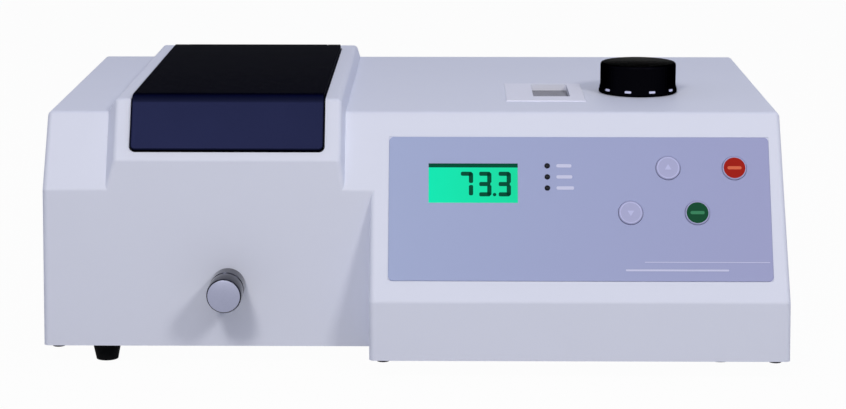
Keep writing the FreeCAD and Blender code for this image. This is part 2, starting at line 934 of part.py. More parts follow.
def cover_openings(body):
    """Openings and shallow seats of the moulded cover."""
    opening = sketch_on(body, "YZ_Plane", "cover_lid_opening", shift=lid_middle)
    bent_strip(opening, sized("lid_flap_low") - sized("lid_gap"), lid_back + sized("lid_gap"),
               flange_out - wall / 2, lid_out + spare)
    pocket(body, opening, sized("lid_width") + 2 * sized("lid_gap"), both_ways=True)
    opening_half = float(lid_half + sized("lid_gap"))
    low = float(sized("lid_flap_low") - sized("lid_gap"))
    low_y, low_z = slope_point(low, lid_out)
    corner = Vector(0, float(low_y), float(low_z))
    up_slope = Vector(0, float(cosine(slope)), float(sine(slope)))
    round_edges(body, "lid_opening_corners", sized("lid_corner_round") + sized("lid_gap"),
                lambda edge: is_straight(edge)
                and abs(abs(middle_of(edge).x - float(lid_middle)) - opening_half) < 0.01
                and abs((edge.Vertexes[0].Point - corner).dot(up_slope)) < 0.01
                and abs((edge.Vertexes[1].Point - corner).dot(up_slope)) < 0.01)
    seat = sketch_on(body, "XY_Plane", "cover_panel_seat", **slope_plane(0))
    rectangle(seat, (panel_left, panel_right), (sized("panel_low"), panel_high))
    pocket(body, seat, sized("panel_recess"))
    holes = sketch_on(body, "XY_Plane", "cover_panel_holes", **slope_plane(0))
    panel_holes(holes)
    pocket(body, holes, wall * 2)
    top_holes = sketch_on(body, "XY_Plane", "cover_top_holes", shift=roof)
    rectangle(top_holes, window_x, window_y)
    circle(top_holes, sized("dial_x"), sized("dial_y"), shaft_hole_radius)
    pocket(body, top_holes, wall * 2)
    rod_hole = sketch_on(body, "XZ_Plane", "cover_rod_hole", shift=-left_front)
    circle(rod_hole, lid_middle, sized("rod_height"), sized("bush_radius"))
    pocket(body, rod_hole, wall * 2)
    rear = sketch_on(body, "XZ_Plane", "cover_rear_opening", shift=-case_back)
    rectangle(rear, rear_opening_x, rear_opening_z)
    pocket(body, rear, wall * 2, reverse=True)
    vents = sketch_on(body, "XZ_Plane", "cover_vents", shift=-case_back)
    for number in range(VENT_COUNT):
        middle = sized("lamp_x") + sized("vent_pitch") * (number - (VENT_COUNT - 1) / 2)
        rectangle(vents, about(middle, sized("vent_width")),
                  (rear_opening_z[1] + spare, rear_opening_z[1] + spare + sized("vent_length")))
    pocket(body, vents, wall * 2, reverse=True)


def panel_holes(sketch):
    """Display window, button and indicator holes, in the slope's frame."""
    rectangle(sketch, display_x, display_s)
    for x, along in BUTTONS.values():
        circle(sketch, x, along, sized("button_radius") + sized("button_gap"))
    for along in INDICATORS:
        circle(sketch, indicator_x, along, sized("indicator_radius"))


def make_top_cover():
    body = new_body("top_cover")
    cover_outer(body)
    cover_shell(body)
    round_cover(body)
    cover_seats(body)
    cover_openings(body)


def make_base_plate():
    body = new_body("base_plate")
    gap = sized("base_gap") + wall
    side = half_width - gap
    inner_step = console_left + gap
    plate = sketch_on(body, "XY_Plane", "base_outline", shift=floor)
    outline(plate, [(-side, left_front + gap), (inner_step, left_front + gap),
                    (inner_step, front + gap), (side, front + gap),
                    (side, case_back - gap), (-side, case_back - gap)])
    pad(body, plate, sized("base_gauge"))
    holes = sketch_on(body, "XY_Plane", "base_screw_holes", shift=floor)
    for x, y in boss_places:
        circle(holes, x, y, sized("screw_radius"))
    pocket(body, holes, both_ways=True)
    vents = sketch_on(body, "XY_Plane", "base_vents", shift=floor)
    for number in range(VENT_COUNT):
        middle = sized("lamp_x") + sized("vent_pitch") * (number - (VENT_COUNT - 1) / 2)
        rectangle(vents, about(middle, sized("vent_width")),
                  about(lamp_y, sized("vent_length") * 2))
    pocket(body, vents, both_ways=True)


def make_feet():
    """Tapered rubber feet, recessed for their screws."""
    feet = []
    for number, (x, y) in enumerate(foot_places, start=1):
        cone = doc.addObject("Part::Cone", "foot_cone_%d" % number)
        bind(cone, "Radius1", sized("foot_low_radius"))
        bind(cone, "Radius2", sized("foot_top_radius"))
        bind(cone, "Height", floor)
        place(cone, x, y, 0)
        recess = cylinder("foot_recess_%d" % number, sized("foot_recess_radius"),
                          floor / 2, x, y, 0)
        feet.append(cut("foot_%d" % number, cone, [recess]))
    group("rubber_feet", feet)


def make_case_screws():
    """Screws that go up through the base plate into the bosses of the cover."""
    screws = []
    for number, (x, y) in enumerate(boss_places, start=1):
        head = cylinder("case_screw_head_%d" % number, sized("screw_head_radius"),
                        sized("screw_head"), x, y, floor - sized("screw_head"))
        shank = cylinder("case_screw_shank_%d" % number, sized("screw_radius"),
                         sized("base_gauge") + sized("screw_length"), x, y, floor)
        screws.append(fuse("case_screw_%d" % number, [head, shank]))
    group("case_screws", screws)


def make_sample_chamber():
    """Black moulded well under the lid, with its flange, apron and hinge ears."""
    body = new_body("sample_chamber")
    flange = sketch_on(body, "YZ_Plane", "chamber_flange")
    bent_strip(flange, sized("apron_low"), flange_back,
               flange_out - sized("chamber_wall"), flange_out)
    pad(body, flange, sized("chamber_flange"), both_ways=True)
    well = sketch_on(body, "XY_Plane", "chamber_well", shift=chamber_low)
    rectangle(well, about(0, chamber_outer_half * 2), (chamber_front_out, chamber_back_out))
    pad(body, well, flange_top - sized("chamber_wall") / 2 - chamber_low)
    legs = sketch_on(body, "XY_Plane", "chamber_legs", shift=plate_top)
    leg = sized("chamber_leg_side")
    for x in ((-chamber_outer_half, -chamber_outer_half + leg),
              (chamber_outer_half - leg, chamber_outer_half)):
        for y in ((chamber_front_out, chamber_front_out + leg),
                  (chamber_back_out - leg, chamber_back_out)):
            rectangle(legs, x, y)
    pad(body, legs, chamber_low - plate_top)
    inside = sketch_on(body, "XY_Plane", "chamber_inside", shift=sized("chamber_floor"))
    rectangle(inside, about(0, sized("chamber_width")),
              (chamber_front, chamber_back))
    pocket(body, inside, reverse=True)
    beam = sketch_on(body, "YZ_Plane", "chamber_beam_ports")
    circle(beam, beam_y, beam_z, sized("beam_radius"))
    pocket(body, beam, both_ways=True)
    rails = sketch_on(body, "XZ_Plane", "chamber_rail_seats",
                      shift=-(chamber_front + chamber_back) / 2)
    for sign in (-1, 1):
        circle(rails, sized("rail_spread") * sign, sized("rail_height"), sized("rail_radius"))
    pocket(body, rails, rail_length, both_ways=True)
    rod = sketch_on(body, "XZ_Plane", "chamber_rod_port", shift=-chamber_front_out)
    circle(rod, 0, sized("rod_height"), sized("rod_radius") + sized("rod_port_gap"))
    pocket(body, rod, sized("chamber_wall") * 2)
    ear_in = lid_half - sized("lid_corner_notch") + sized("ear_gap")
    ear_out = lid_half - sized("ear_gap")
    ears = sketch_on(body, "YZ_Plane", "chamber_ears")
    rectangle(ears, about(lid_axis_y, sized("lid_barrel_radius") * 2), (flange_top, lid_axis_z))
    pad(body, ears, ear_out * 2, both_ways=True)
    tips = sketch_on(body, "YZ_Plane", "chamber_ear_tips")
    circle(tips, lid_axis_y, lid_axis_z, sized("lid_barrel_radius"))
    pad(body, tips, ear_out * 2, both_ways=True)
    between = sketch_on(body, "XY_Plane", "chamber_ear_gap", shift=flange_top)
    rectangle(between, about(0, ear_in * 2), (chamber_back, flange_back))
    pocket(body, between, spare * 2, reverse=True)
    pins = sketch_on(body, "YZ_Plane", "chamber_pin_bores")
    circle(pins, lid_axis_y, lid_axis_z, sized("hinge_pin_radius"))
    pocket(body, pins, both_ways=True)
    place(body, lid_middle, 0, 0)


def make_hinge_pins():
    outer = lid_half - sized("ear_gap")
    pins = []
    for number, start in enumerate((-outer, outer - sized("hinge_pin_length")), start=1):
        pins.append(cylinder("hinge_pin_%d" % number, sized("hinge_pin_radius"),
                             sized("hinge_pin_length"), lid_middle + start,
                             lid_axis_y, lid_axis_z, along="x"))
    group("lid_hinge_pins", pins)


def make_lid():
    """Dark lid that follows the roof and the slope, with a light trap inside."""
    body = new_body("sample_lid")
    skin = sketch_on(body, "YZ_Plane", "lid_skin")
    bent_strip(skin, sized("lid_flap_low"), lid_axis_y,
               lid_out - sized("lid_thickness"), lid_out)
    pad(body, skin, sized("lid_width"), both_ways=True)
    barrel = sketch_on(body, "YZ_Plane", "lid_barrel")
    circle(barrel, lid_axis_y, lid_axis_z, sized("lid_barrel_radius"))
    pad(body, barrel, sized("lid_width"), both_ways=True)
    trap = sketch_on(body, "XY_Plane", "lid_light_trap", shift=trap_low)
    gap = sized("lid_trap_gap")
    trap_wall = sized("lid_trap_wall")
    rectangle(trap, about(0, sized("chamber_width") - gap * 2),
              (chamber_front + gap, chamber_back - gap))
    rectangle(trap, about(0, sized("chamber_width") - (gap + trap_wall) * 2),
              (chamber_front + gap + trap_wall, chamber_back - gap - trap_wall))
    pad(body, trap, lid_roof - sized("lid_thickness") / 2 - trap_low)
    corners = sketch_on(body, "XY_Plane", "lid_corner_notches")
    for sign in (-1, 1):
        rectangle(corners, ((lid_half - sized("lid_corner_notch")) * sign,
                            (lid_half + spare) * sign),
                  (lid_axis_y - sized("lid_barrel_radius") - sized("lid_gap"),
                   lid_axis_y + spare))
    pocket(body, corners, both_ways=True)
    pins = sketch_on(body, "YZ_Plane", "lid_pin_bores")
    circle(pins, lid_axis_y, lid_axis_z, sized("hinge_pin_radius") + sized("pin_clearance"))
    pocket(body, pins, both_ways=True)
    bend = bend_point(lid_out)
    round_edges(body, "lid_bend", sized("lid_bend_round"),
                lambda edge: runs_along(edge, X_AXIS)
                and abs(middle_of(edge).z - float(bend[1])) < 0.01
                and abs(middle_of(edge).y - float(bend[0])) < 0.01)
    round_edges(body, "lid_flap_corners", sized("lid_corner_round"),
                lambda edge: abs(edge.Length - float(sized("lid_thickness"))) < 0.01
                and middle_of(edge).z < float(roof))
    round_edges(body, "lid_rim", sized("lid_rim_round"), on_lid_rim)
    place(body, lid_middle, 0, 0)


def on_lid_rim(edge):
    """Whether an edge bounds the lid's outer skin at its sides or its low end."""
    point = middle_of(edge)
    if point.y > float(lid_axis_y) - float(sized("lid_barrel_radius")) * 2:
        return False
    half = float(lid_half)
    low = out_from_slope(point)
    top = abs(point.z - float(lid_roof)) < 0.01 or abs(low - float(lid_out)) < 0.01
    side = abs(abs(point.x) - half) < 0.01
    if side:
        return top or (not is_straight(edge) and edge.Length > 3)
    return abs(low - float(lid_out)) < 0.01 and point.z < float(roof)


def make_lid_seal():
    """Foam ring that the lid closes on."""
    body = new_body("lid_seal")
    ring = sketch_on(body, "YZ_Plane", "seal_strip")
    width = sized("seal_width")
    bent_strip(ring, seal_low, seal_back, flange_out, flange_out + sized("seal_thickness"))
    pad(body, ring, (chamber_half + sized("seal_inset") + width) * 2, both_ways=True)
    inside = sketch_on(body, "XY_Plane", "seal_inside")
    rectangle(inside, about(0, (chamber_half + sized("seal_inset")) * 2),
              (slope_point(seal_low + width, flange_out)[0], seal_back - width))
    pocket(body, inside, both_ways=True)
    place(body, lid_middle, 0, 0)


def make_rails():
    rails = []
    for number, sign in enumerate((-1, 1), start=1):
        rails.append(cylinder("rail_%d" % number, sized("rail_radius"), rail_length,
                              lid_middle + sized("rail_spread") * sign,
                              chamber_front - sized("rail_seat"),
                              sized("rail_height"), along="y"))
    group("carriage_rails", rails)


def cuvette_y(number):
    return beam_y + sized("cuvette_pitch") * number


rack_front = beam_y - sized("rack_end")
rack_back = cuvette_y(sized("cuvette_count") - 1) + sized("rack_end")
carriage_front = beam_y - sized("carriage_end")
carriage_back = cuvette_y(sized("cuvette_count") - 1) + sized("carriage_end")


def make_carriage():
    """Slide block that runs on the two rails."""
    body = new_body("cuvette_carriage")
    block = sketch_on(body, "XY_Plane", "carriage_block", shift=sized("carriage_low"))
    rectangle(block, about(0, sized("carriage_width")), (carriage_front, carriage_back))
    pad(body, block, sized("carriage_top") - sized("carriage_low"))
    middle = -(carriage_front + carriage_back) / 2
    channel = sketch_on(body, "XZ_Plane", "carriage_channel", shift=middle)
    rectangle(channel, about(0, sized("channel_width")),
              (sized("carriage_low") - spare, sized("channel_top")))
    pocket(body, channel, both_ways=True)
    bores = sketch_on(body, "XZ_Plane", "carriage_bores", shift=middle)
    for sign in (-1, 1):
        circle(bores, sized("rail_spread") * sign, sized("rail_height"),
               sized("rail_radius") + sized("running_clearance"))
    pocket(body, bores, both_ways=True)
    rod = sketch_on(body, "XZ_Plane", "carriage_rod_bore", shift=-carriage_front)
    circle(rod, 0, sized("rod_height"), sized("rod_radius"))
    pocket(body, rod, sized("rod_screw_in"))
    place(body, lid_middle, 0, 0)


def make_rack():
    """Cuvette rack with one open pocket and one light port for each cuvette."""
    body = new_body("cuvette_rack")
    block = sketch_on(body, "XY_Plane", "rack_block", shift=sized("carriage_top"))
    rectangle(block, about(0, sized("rack_width")), (rack_front, rack_back))
    pad(body, block, rack_top - sized("carriage_top"))
    slots = sketch_on(body, "XY_Plane", "rack_slots", shift=cuvette_low)
    ports = sketch_on(body, "YZ_Plane", "rack_ports")
    side = sized("cuvette_side") + sized("cuvette_fit") * 2
    for number in range(CUVETTES):
        rectangle(slots, about(0, side), about(cuvette_y(number), side))
        rectangle(ports, about(cuvette_y(number), sized("rack_port_width")),
                  about(beam_z, sized("rack_port_height")))
    pocket(body, slots, reverse=True)
    pocket(body, ports, both_ways=True)
    place(body, lid_middle, 0, 0)


def make_cuvettes():
    cells = []
    side = sized("cuvette_side")
    inside = side - sized("cuvette_wall") * 2
    low = cuvette_low
    top = low + sized("cuvette_height")
    for number in range(CUVETTES):
        outer = box("cuvette_outer_%d" % number, about(lid_middle, side),
                    about(cuvette_y(number), side), (low, top))
        inner = box("cuvette_inner_%d" % number, about(lid_middle, inside),
                    about(cuvette_y(number), inside), (low + sized("cuvette_wall"), top + 1))
        cells.append(cut("cuvette_%d" % number, outer, [inner]))
    group("cuvettes", cells)


knob_front = left_front - sized("knob_reach")
rod_depth = sized("knob_length") / 2


def make_pull_rod():
    start = knob_front + rod_depth
    rod = cylinder("pull_rod_bar", sized("rod_radius"),
                   carriage_front + sized("rod_screw_in") - start,
                   lid_middle, start, sized("rod_height"), along="y")
    keep(rod, "pull_rod")


def lay_along_y(body, x, y, z):
    """Turn a body made about its own Z so that its Z points to the back."""
    body.Placement = Placement(Vector(), ALONG["y"])
    return place(body, x, y, z)


def make_pull_knob():
    """Chromed knob, turned, with a chamfered face and a waisted back end."""
    body = new_body("pull_knob")
    radius = sized("knob_radius")
    chamfer = sized("knob_chamfer")
    length = sized("knob_length")
    turned(body, "knob_profile",
           [(0, 0), (radius - chamfer, 0), (radius, chamfer), (radius, length - chamfer),
            (radius - chamfer, length), (0, length)])
    bore = sketch_on(body, "XY_Plane", "knob_bore", shift=rod_depth)
    circle(bore, 0, 0, sized("rod_radius"))
    pocket(body, bore, reverse=True)
    lay_along_y(body, lid_middle, knob_front, sized("rod_height"))


def make_rod_bush():
    """Flanged bush that guides the pull rod through the cover, and its thin nut."""
    bore = sized("rod_radius") + sized("running_clearance")
    collar = sized("bush_flange")
    length = wall + sized("nut_height") + 1
    z = sized("rod_height")
    flange = cylinder("bush_collar", sized("bush_flange_radius"), collar, lid_middle,
                      left_front - collar, z, along="y")
    barrel = cylinder("bush_barrel", sized("bush_radius"), length, lid_middle, left_front, z,
                      along="y")
    hole = cylinder("bush_hole", bore, length + collar, lid_middle, left_front - collar, z,
                    along="y")
    nut = doc.addObject("Part::Prism", "bush_nut_blank")
    nut.Polygon = 6
    bind(nut, "Circumradius", sized("bush_flange_radius") + sized("bush_flange"))
    bind(nut, "Height", sized("nut_height"))
    nut.Placement = Placement(Vector(), ALONG["y"])
    place(nut, lid_middle, left_front + wall, z)
    thread = cylinder("bush_nut_thread", sized("bush_radius"), sized("nut_height"), lid_middle,
                      left_front + wall, z, along="y")
    group("rod_bush", [cut("bush_cut", fuse("bush_solid", [flange, barrel]), [hole]),
                       cut("bush_nut", nut, [thread])])


def on_slope_body(name):
    """Body made in the slope's own frame: X across, Y up the slope, Z out of it."""
    return place_on_slope(new_body(name))


def make_control_panel():
    """Flat keypad overlay with its cut-outs and rounded corners."""
    body = on_slope_body("control_panel")
    sheet_gap = sized("panel_gap")
    low = -sized("panel_recess")
    blank = sketch_on(body, "XY_Plane", "panel_blank", shift=low)
    rectangle(blank, (panel_left + sheet_gap, panel_right - sheet_gap),
              (sized("panel_low") + sheet_gap, panel_high - sheet_gap))
    pad(body, blank, sized("panel_thickness"))
    holes = sketch_on(body, "XY_Plane", "panel_cut_outs", shift=low)
    panel_holes(holes)
    pocket(body, holes, both_ways=True)
    middle = float(panel_left + panel_right) / 2
    reach = float(sized("panel_width")) / 2 - 1
    round_edges(body, "panel_corners", sized("panel_corner"),
                lambda edge: runs_along(edge, Z_AXIS)
                and abs(middle_of(edge).x - middle) > reach)


def make_lcd_module():
    """Display module: frame behind the cover, glass raised into the opening."""
    body = on_slope_body("lcd_module")
    margin = sized("display_frame")
    depth = sized("display_board_depth")
    frame = sketch_on(body, "XY_Plane", "lcd_frame", shift=-wall - sized("display_depth"))
    rectangle(frame, (display_x[0] - margin, display_x[1] + margin),
              (display_s[0] - margin, display_s[1] + margin))
    pad(body, frame, sized("display_depth"))
    gap = sized("panel_gap")
    glass = sketch_on(body, "XY_Plane", "lcd_glass", shift=-wall - gap)
    rectangle(glass, (display_x[0] + gap, display_x[1] - gap),
              (display_s[0] + gap, display_s[1] - gap))
    pad(body, glass, wall + gap + panel_face - sized("display_sink"))
    headers = sketch_on(body, "XY_Plane", "lcd_headers", shift=-depth)
    for along in display_s:
        rectangle(headers, display_x, about(along, sized("header_depth")))
    pad(body, headers, depth - wall - sized("display_depth") / 2)


def make_display_board():
    body = on_slope_body("display_board")
    board = sketch_on(body, "XY_Plane", "display_board_blank",
                      shift=-sized("display_board_depth"))
    rectangle(board, (panel_left + sized("board_left_inset"),
                      panel_right - sized("board_right_inset")),
              (sized("panel_low") + sized("board_low_inset"), panel_high))
    pad(body, board, sized("board_thickness"), reverse=True)


def make_tact_switches():
    switches = []
    base = -sized("display_board_depth")
    for number, (x, along) in enumerate(BUTTONS.values(), start=1):
        case = box("tact_case_%d" % number, about(x, sized("tact_side")),
                   about(along, sized("tact_side")), (base, base + sized("tact_height")))
        plunger = cylinder("tact_plunger_%d" % number, sized("tact_plunger_radius"),
                           button_foot - sized("tact_gap") - sized("button_travel") - base,
                           x, along, base)
        switches.append(place_on_slope(fuse("tact_%d" % number, [case, plunger])))
    group("tact_switches", switches)


def make_buttons():
    """Round keys with a retaining flange behind the cover and a stem to the switch."""
    radius = sized("button_radius")
    flange = radius + sized("button_flange")
    stem = sized("button_stem_radius")
    under = -wall - sized("button_rest_gap")
    back = under - sized("button_flange_thickness")
    crown = panel_face + sized("button_proud")
    edge_round = sized("button_edge")
    for name, (x, along) in BUTTONS.items():
        body = new_body(name)
        turned(body, name + "_profile",
               [(0, button_foot), (stem, button_foot), (stem, back), (flange, back),
                (flange, under), (radius, under), (radius, crown - edge_round),
                (radius - edge_round, crown), (0, crown)])
        stand_on_slope(body, x, along, 0)


def make_indicator_leds():
    """Indicator lights that stand on the display board and end flush with the panel."""
    base = -sized("display_board_depth")
    radius = sized("indicator_radius") - sized("pin_clearance")
    lamps = []
    for number, along in enumerate(INDICATORS, start=1):
        lamp = cylinder("indicator_%d" % number, radius, panel_face - base)
        lamps.append(stand_on_slope(lamp, indicator_x, along, base))
    group("indicator_leds", lamps)


def stand_on_dial(body, z=0):
    return place(body, sized("dial_x"), sized("dial_y"), z)


def make_wavelength_knob():
    """Turned grip with a bevelled skirt, bored for the shaft."""
    body = new_body("wavelength_knob")
    low = roof + sized("grip_gap")
    top = roof + sized("grip_height")
    radius = sized("grip_radius")
    skirt = sized("grip_flange_radius")
    edge = sized("grip_edge")
    turned(body, "grip_profile",
           [(0, low), (skirt, low), (skirt, low + sized("grip_flange")),
            (radius, low + sized("grip_flange") + sized("grip_skirt")),
            (radius, top - edge), (radius - edge, top), (0, top)])
    bore = sketch_on(body, "XY_Plane", "grip_bore", shift=low)
    circle(bore, 0, 0, sized("dial_shaft_radius"))
    pocket(body, bore, shaft_top - low, reverse=True)
    stand_on_dial(body)


def make_wavelength_shaft():
    low = cam_low - sized("dial_shaft_stub")
    keep(cylinder("wavelength_shaft_bar", sized("dial_shaft_radius"), shaft_top - low,
                  sized("dial_x"), sized("dial_y"), low), "wavelength_shaft")


def make_wavelength_dial():
    """Scale disc on a long hub that rests on the bearing."""
    body = new_body("wavelength_dial")
    top = roof - sized("dial_sink")
    under = top - sized("dial_thickness")
    bore = sized("dial_shaft_radius")
    turned(body, "dial_profile",
           [(bore, bearing_top + sized("dial_rest_gap")),
            (sized("dial_hub_radius"), bearing_top + sized("dial_rest_gap")),
            (sized("dial_hub_radius"), under), (sized("dial_radius"), under),
            (sized("dial_radius"), top), (bore, top)])
    stand_on_dial(body)


def make_shaft_bearing():
    body = new_body("shaft_bearing")
    bore = sized("dial_shaft_radius") + sized("running_clearance")
    outer = sized("bearing_radius")
    collar = outer + sized("bearing_collar")
    turned(body, "bearing_profile",
           [(bore, mono_top), (outer, mono_top), (outer, mono_roof),
            (collar, mono_roof), (collar, bearing_top), (bore, bearing_top)])
    stand_on_dial(body)


def arm_turn(fraction):
    """Place of the roller's centre when the arm has swung that share of its way."""
    pivot = Vector(float(sized("grating_x")), float(sized("grating_y")), 0)
    angle = math.radians(arm_rest_angle + float(sized("grating_swing_angle")) * fraction)
    return pivot + Vector(math.cos(angle), math.sin(angle), 0) * arm_length


def cam_place(share):
    """Point of the cam's profile that carries the roller at that share of the swing.

    The roller's centre is seen from the turning cam, and the profile lies one roller
    radius and the working gap inside that path.
    """
    axis = Vector(float(sized("dial_x")), float(sized("dial_y")), 0)
    inset = float(sized("roller_radius")) + float(sized("cam_gap"))
    near = 0.01
    before, here, after = [
        Rotation(Z_AXIS, -float(sized("dial_swing_angle")) * at).multVec(arm_turn(at) - axis)
        for at in (share - near, share, share + near)]
    along = after - before
    normal = Vector(-along.y, along.x, 0).normalize()
    if normal.dot(here) > 0:
        normal = normal * -1
    return here + normal * inset


def cam_rise(share):
    """Point of the working profile, which runs on a little past both ends of the swing."""
    return cam_place(share * (1 + CAM_LEAD * 2) - CAM_LEAD)


def cam_fall(share):
    """Point of the profile where it drops back from its highest place to its lowest."""
    first, last = cam_rise(0), cam_rise(1)
    length = last.Length + (first.Length - last.Length) * math.sin(math.pi / 2 * share)
    way_round = math.atan2(last.y, last.x) - math.atan2(first.y, first.x)
    turn = math.degrees(way_round % math.tau)
    return Rotation(Z_AXIS, -turn * share).multVec(Vector(last).normalize()) * length


def make_cam():
    """Plate cam whose profile is a chain of arcs through its worked-out places."""
    arcs = []
    for profile, count in ((cam_rise, CAM_ARCS), (cam_fall, CAM_FALL_ARCS)):
        for number in range(count):
            places = [profile((number + part) / count) for part in (0, 0.5, 1)]
            arcs.append(Part.Arc(*places).toShape())
    face = Part.Face(Part.Wire(arcs))
    blank = face.extrude(Vector(0, 0, float(sized("cam_thickness"))))
    bore = Part.makeCylinder(float(sized("dial_shaft_radius")), float(sized("cam_thickness")))
    cam = doc.addObject("Part::Feature", "wavelength_cam_plate")
    cam.Shape = blank.cut(bore)
    keep(stand_on_dial(cam, cam_low), "wavelength_cam")


def make_cam_arm():
    """Arm from the grating's top hub to the roller, made level with the cam."""
    hub = cylinder("arm_hub", sized("arm_hub_radius"), sized("arm_thickness"))
    eye = cylinder("arm_eye", sized("arm_width") / 2, sized("arm_thickness"), arm_length)
    bar = box("arm_bar", (as_size(0), as_size(arm_length)), about(0, sized("arm_width")),
              (as_size(0), sized("arm_thickness")))
    bore = cylinder("arm_bore", sized("pivot_radius"), sized("arm_thickness"))
    pin = cylinder("arm_pin", sized("roller_pin_radius"),
                   sized("roller_thickness") + sized("roller_end_gap"), arm_length, 0,
                   -(sized("roller_thickness") + sized("roller_end_gap")))
    whole = fuse("arm_whole", [cut("arm_cut", fuse("arm_blank", [hub, eye, bar]), [bore]), pin])
    whole.Placement = Placement(Vector(), Rotation(Z_AXIS, arm_rest_angle))
    keep(place(whole, sized("grating_x"), sized("grating_y"), arm_low), "cam_arm")


def make_cam_roller():
    centre = arm_turn(0)
    low = arm_low - sized("roller_thickness") - sized("roller_end_gap") / 2
    wheel = cylinder("roller_wheel", sized("roller_radius"), sized("roller_thickness"),
                     centre.x, centre.y, low)
    bore = cylinder("roller_bore", sized("roller_pin_radius") + sized("running_clearance"),
                    sized("roller_thickness"),
                    centre.x, centre.y, low)
    keep(cut("roller_cut", wheel, [bore]), "cam_roller")


def make_grating_table():
    """Turntable, back plate and pivots that carry the grating."""
    x, y = sized("grating_x"), sized("grating_y")
    low = mono_floor + sized("table_gap")
    radius = sized("table_radius")
    disc = cylinder("table_disc", radius, sized("table_thickness"), x, y, low)
    foot = cylinder("table_foot", sized("pivot_radius"), low - mono_floor + mono_wall / 2,
                    x, y, mono_floor - mono_wall / 2)
    back = box("table_back", (x - sized("grating_thickness") - mono_wall,
                              x - sized("grating_thickness")),
               about(y, sized("grating_side")), (low, arm_low - sized("table_thickness")))
    bridge = box("table_bridge", (x - sized("grating_thickness") - mono_wall,
                                  x + sized("arm_hub_radius")),
                 about(y, sized("arm_hub_radius") * 2),
                 (arm_low - sized("table_thickness"), arm_low))
    head = cylinder("table_head", sized("pivot_radius"), mono_roof - arm_low, x, y, arm_low)
    keep(fuse("table_whole", [disc, foot, back, bridge, head]), "grating_table")


def make_grating():
    x, y = sized("grating_x"), sized("grating_y")
    low = mono_floor + sized("table_gap") + sized("table_thickness")
    keep(box("grating_block", (x - sized("grating_thickness"), x),
             about(y, sized("grating_side")), (low, low + sized("grating_height"))), "grating")


def make_monochromator():
    """Cast tray with light ports and mirror pads, and its flat cover."""
    left, right = mono_left, mono_right
    near, far = mono_front, mono_back
    body = new_body("monochromator_base")
    block = sketch_on(body, "XY_Plane", "mono_block", shift=mono_low)
    rectangle(block, (left, right), (near, far))
    pad(body, block, mono_top - mono_low)
    inside = sketch_on(body, "XY_Plane", "mono_inside", shift=mono_floor)
    rectangle(inside, (left + mono_wall, right - mono_wall), (near + mono_wall, far - mono_wall))
    pocket(body, inside, reverse=True)
    exit_port = sketch_on(body, "YZ_Plane", "mono_exit", shift=left)
    circle(exit_port, beam_y, beam_z, sized("beam_radius"))
    pocket(body, exit_port, mono_wall * 2, reverse=True)
    entry_port = sketch_on(body, "XZ_Plane", "mono_entry", shift=-far)
    circle(entry_port, sized("lamp_x"), beam_z, sized("beam_radius"))
    pocket(body, entry_port, mono_wall * 2, reverse=True)
    pads = sketch_on(body, "YZ_Plane", "mono_mirror_pads", shift=right - mono_wall / 2)
    for y in mirror_places:
        circle(pads, y, beam_z, sized("mirror_radius"))
    pad(body, pads, mono_wall / 2 + sized("mirror_pad"), reverse=True)
    pivot = sketch_on(body, "XY_Plane", "mono_pivot", shift=mono_floor)
    circle(pivot, sized("grating_x"), sized("grating_y"),
           sized("pivot_radius") + sized("running_clearance"))
    pocket(body, pivot, sized("pivot_socket"))
    stand = sketch_on(body, "XY_Plane", "mono_fold_stand", shift=mono_floor)
    rectangle(stand, about(sized("lamp_x") - sized("fold_stand") / 2, sized("fold_stand")),
              about(fold_y - sized("fold_stand") / 2, sized("fold_stand")))
    pad(body, stand, beam_z - sized("fold_side") / 2 - mono_floor)
    plate = new_body("monochromator_cover")
    sheet_plan = sketch_on(plate, "XY_Plane", "mono_cover_plan", shift=mono_top)
    rectangle(sheet_plan, (left, right), (near, far))
    pad(plate, sheet_plan, sized("mono_cover"))
    holes = sketch_on(plate, "XY_Plane", "mono_cover_holes", shift=mono_top)
    circle(holes, sized("dial_x"), sized("dial_y"), sized("bearing_radius"))
    circle(holes, sized("grating_x"), sized("grating_y"),
           sized("pivot_radius") + sized("running_clearance"))
    pocket(plate, holes, both_ways=True)


def make_mirrors():
    """Two concave mirrors on the right wall and one flat fold mirror."""
    face = mono_right - mono_wall - sized("mirror_pad")
    mirrors = []
    for number, y in enumerate(mirror_places, start=1):
        disc = cylinder("mirror_disc_%d" % number, sized("mirror_radius"),
                        sized("mirror_thickness"), face - sized("mirror_thickness"), y, beam_z,
                        along="x")
        ball = doc.addObject("Part::Sphere", "mirror_bowl_%d" % number)
        bind(ball, "Radius", sized("mirror_curve"))
        place(ball, face - sized("mirror_thickness") + sized("mirror_bowl")
              - sized("mirror_curve"), y, beam_z)
        mirrors.append(cut("mirror_%d" % number, disc, [ball]))
    group("concave_mirrors", mirrors)
    side = sized("fold_side")
    flat = box("fold_block", about(0, side), (as_size(0), sized("fold_thickness")),
               about(0, side))
    angle = sized("fold_angle")
    flat.Placement = Placement(Vector(), Rotation(Z_AXIS, float(angle)))
    bind(flat, "Placement.Rotation.Angle", angle)
    keep(place(flat, sized("lamp_x") - side / 2 * cosine(angle),
               fold_y - side / 2 * cosine(angle), beam_z - side / 2), "fold_mirror")


def make_slits():
    """Blades with a narrow slot behind the entry and exit ports."""
    side = sized("slit_side")
    blade = sized("slit_blade")
    exit_x = mono_left + mono_wall
    entry_y = mono_back - mono_wall
    left = cut("exit_slit", box("exit_blade", (exit_x, exit_x + blade), about(beam_y, side),
                                about(beam_z, side)),
               [box("exit_slot", (exit_x - 1, exit_x + blade + 1),
                    about(beam_y, sized("slit_width")), about(beam_z, side / 2))])
    rear = cut("entry_slit", box("entry_blade", about(sized("lamp_x"), side),
                                 (entry_y - blade, entry_y), about(beam_z, side)),
               [box("entry_slot", about(sized("lamp_x"), sized("slit_width")),
                    (entry_y - blade - 1, entry_y + 1), about(beam_z, side / 2))])
    group("light_slits", [left, rear])


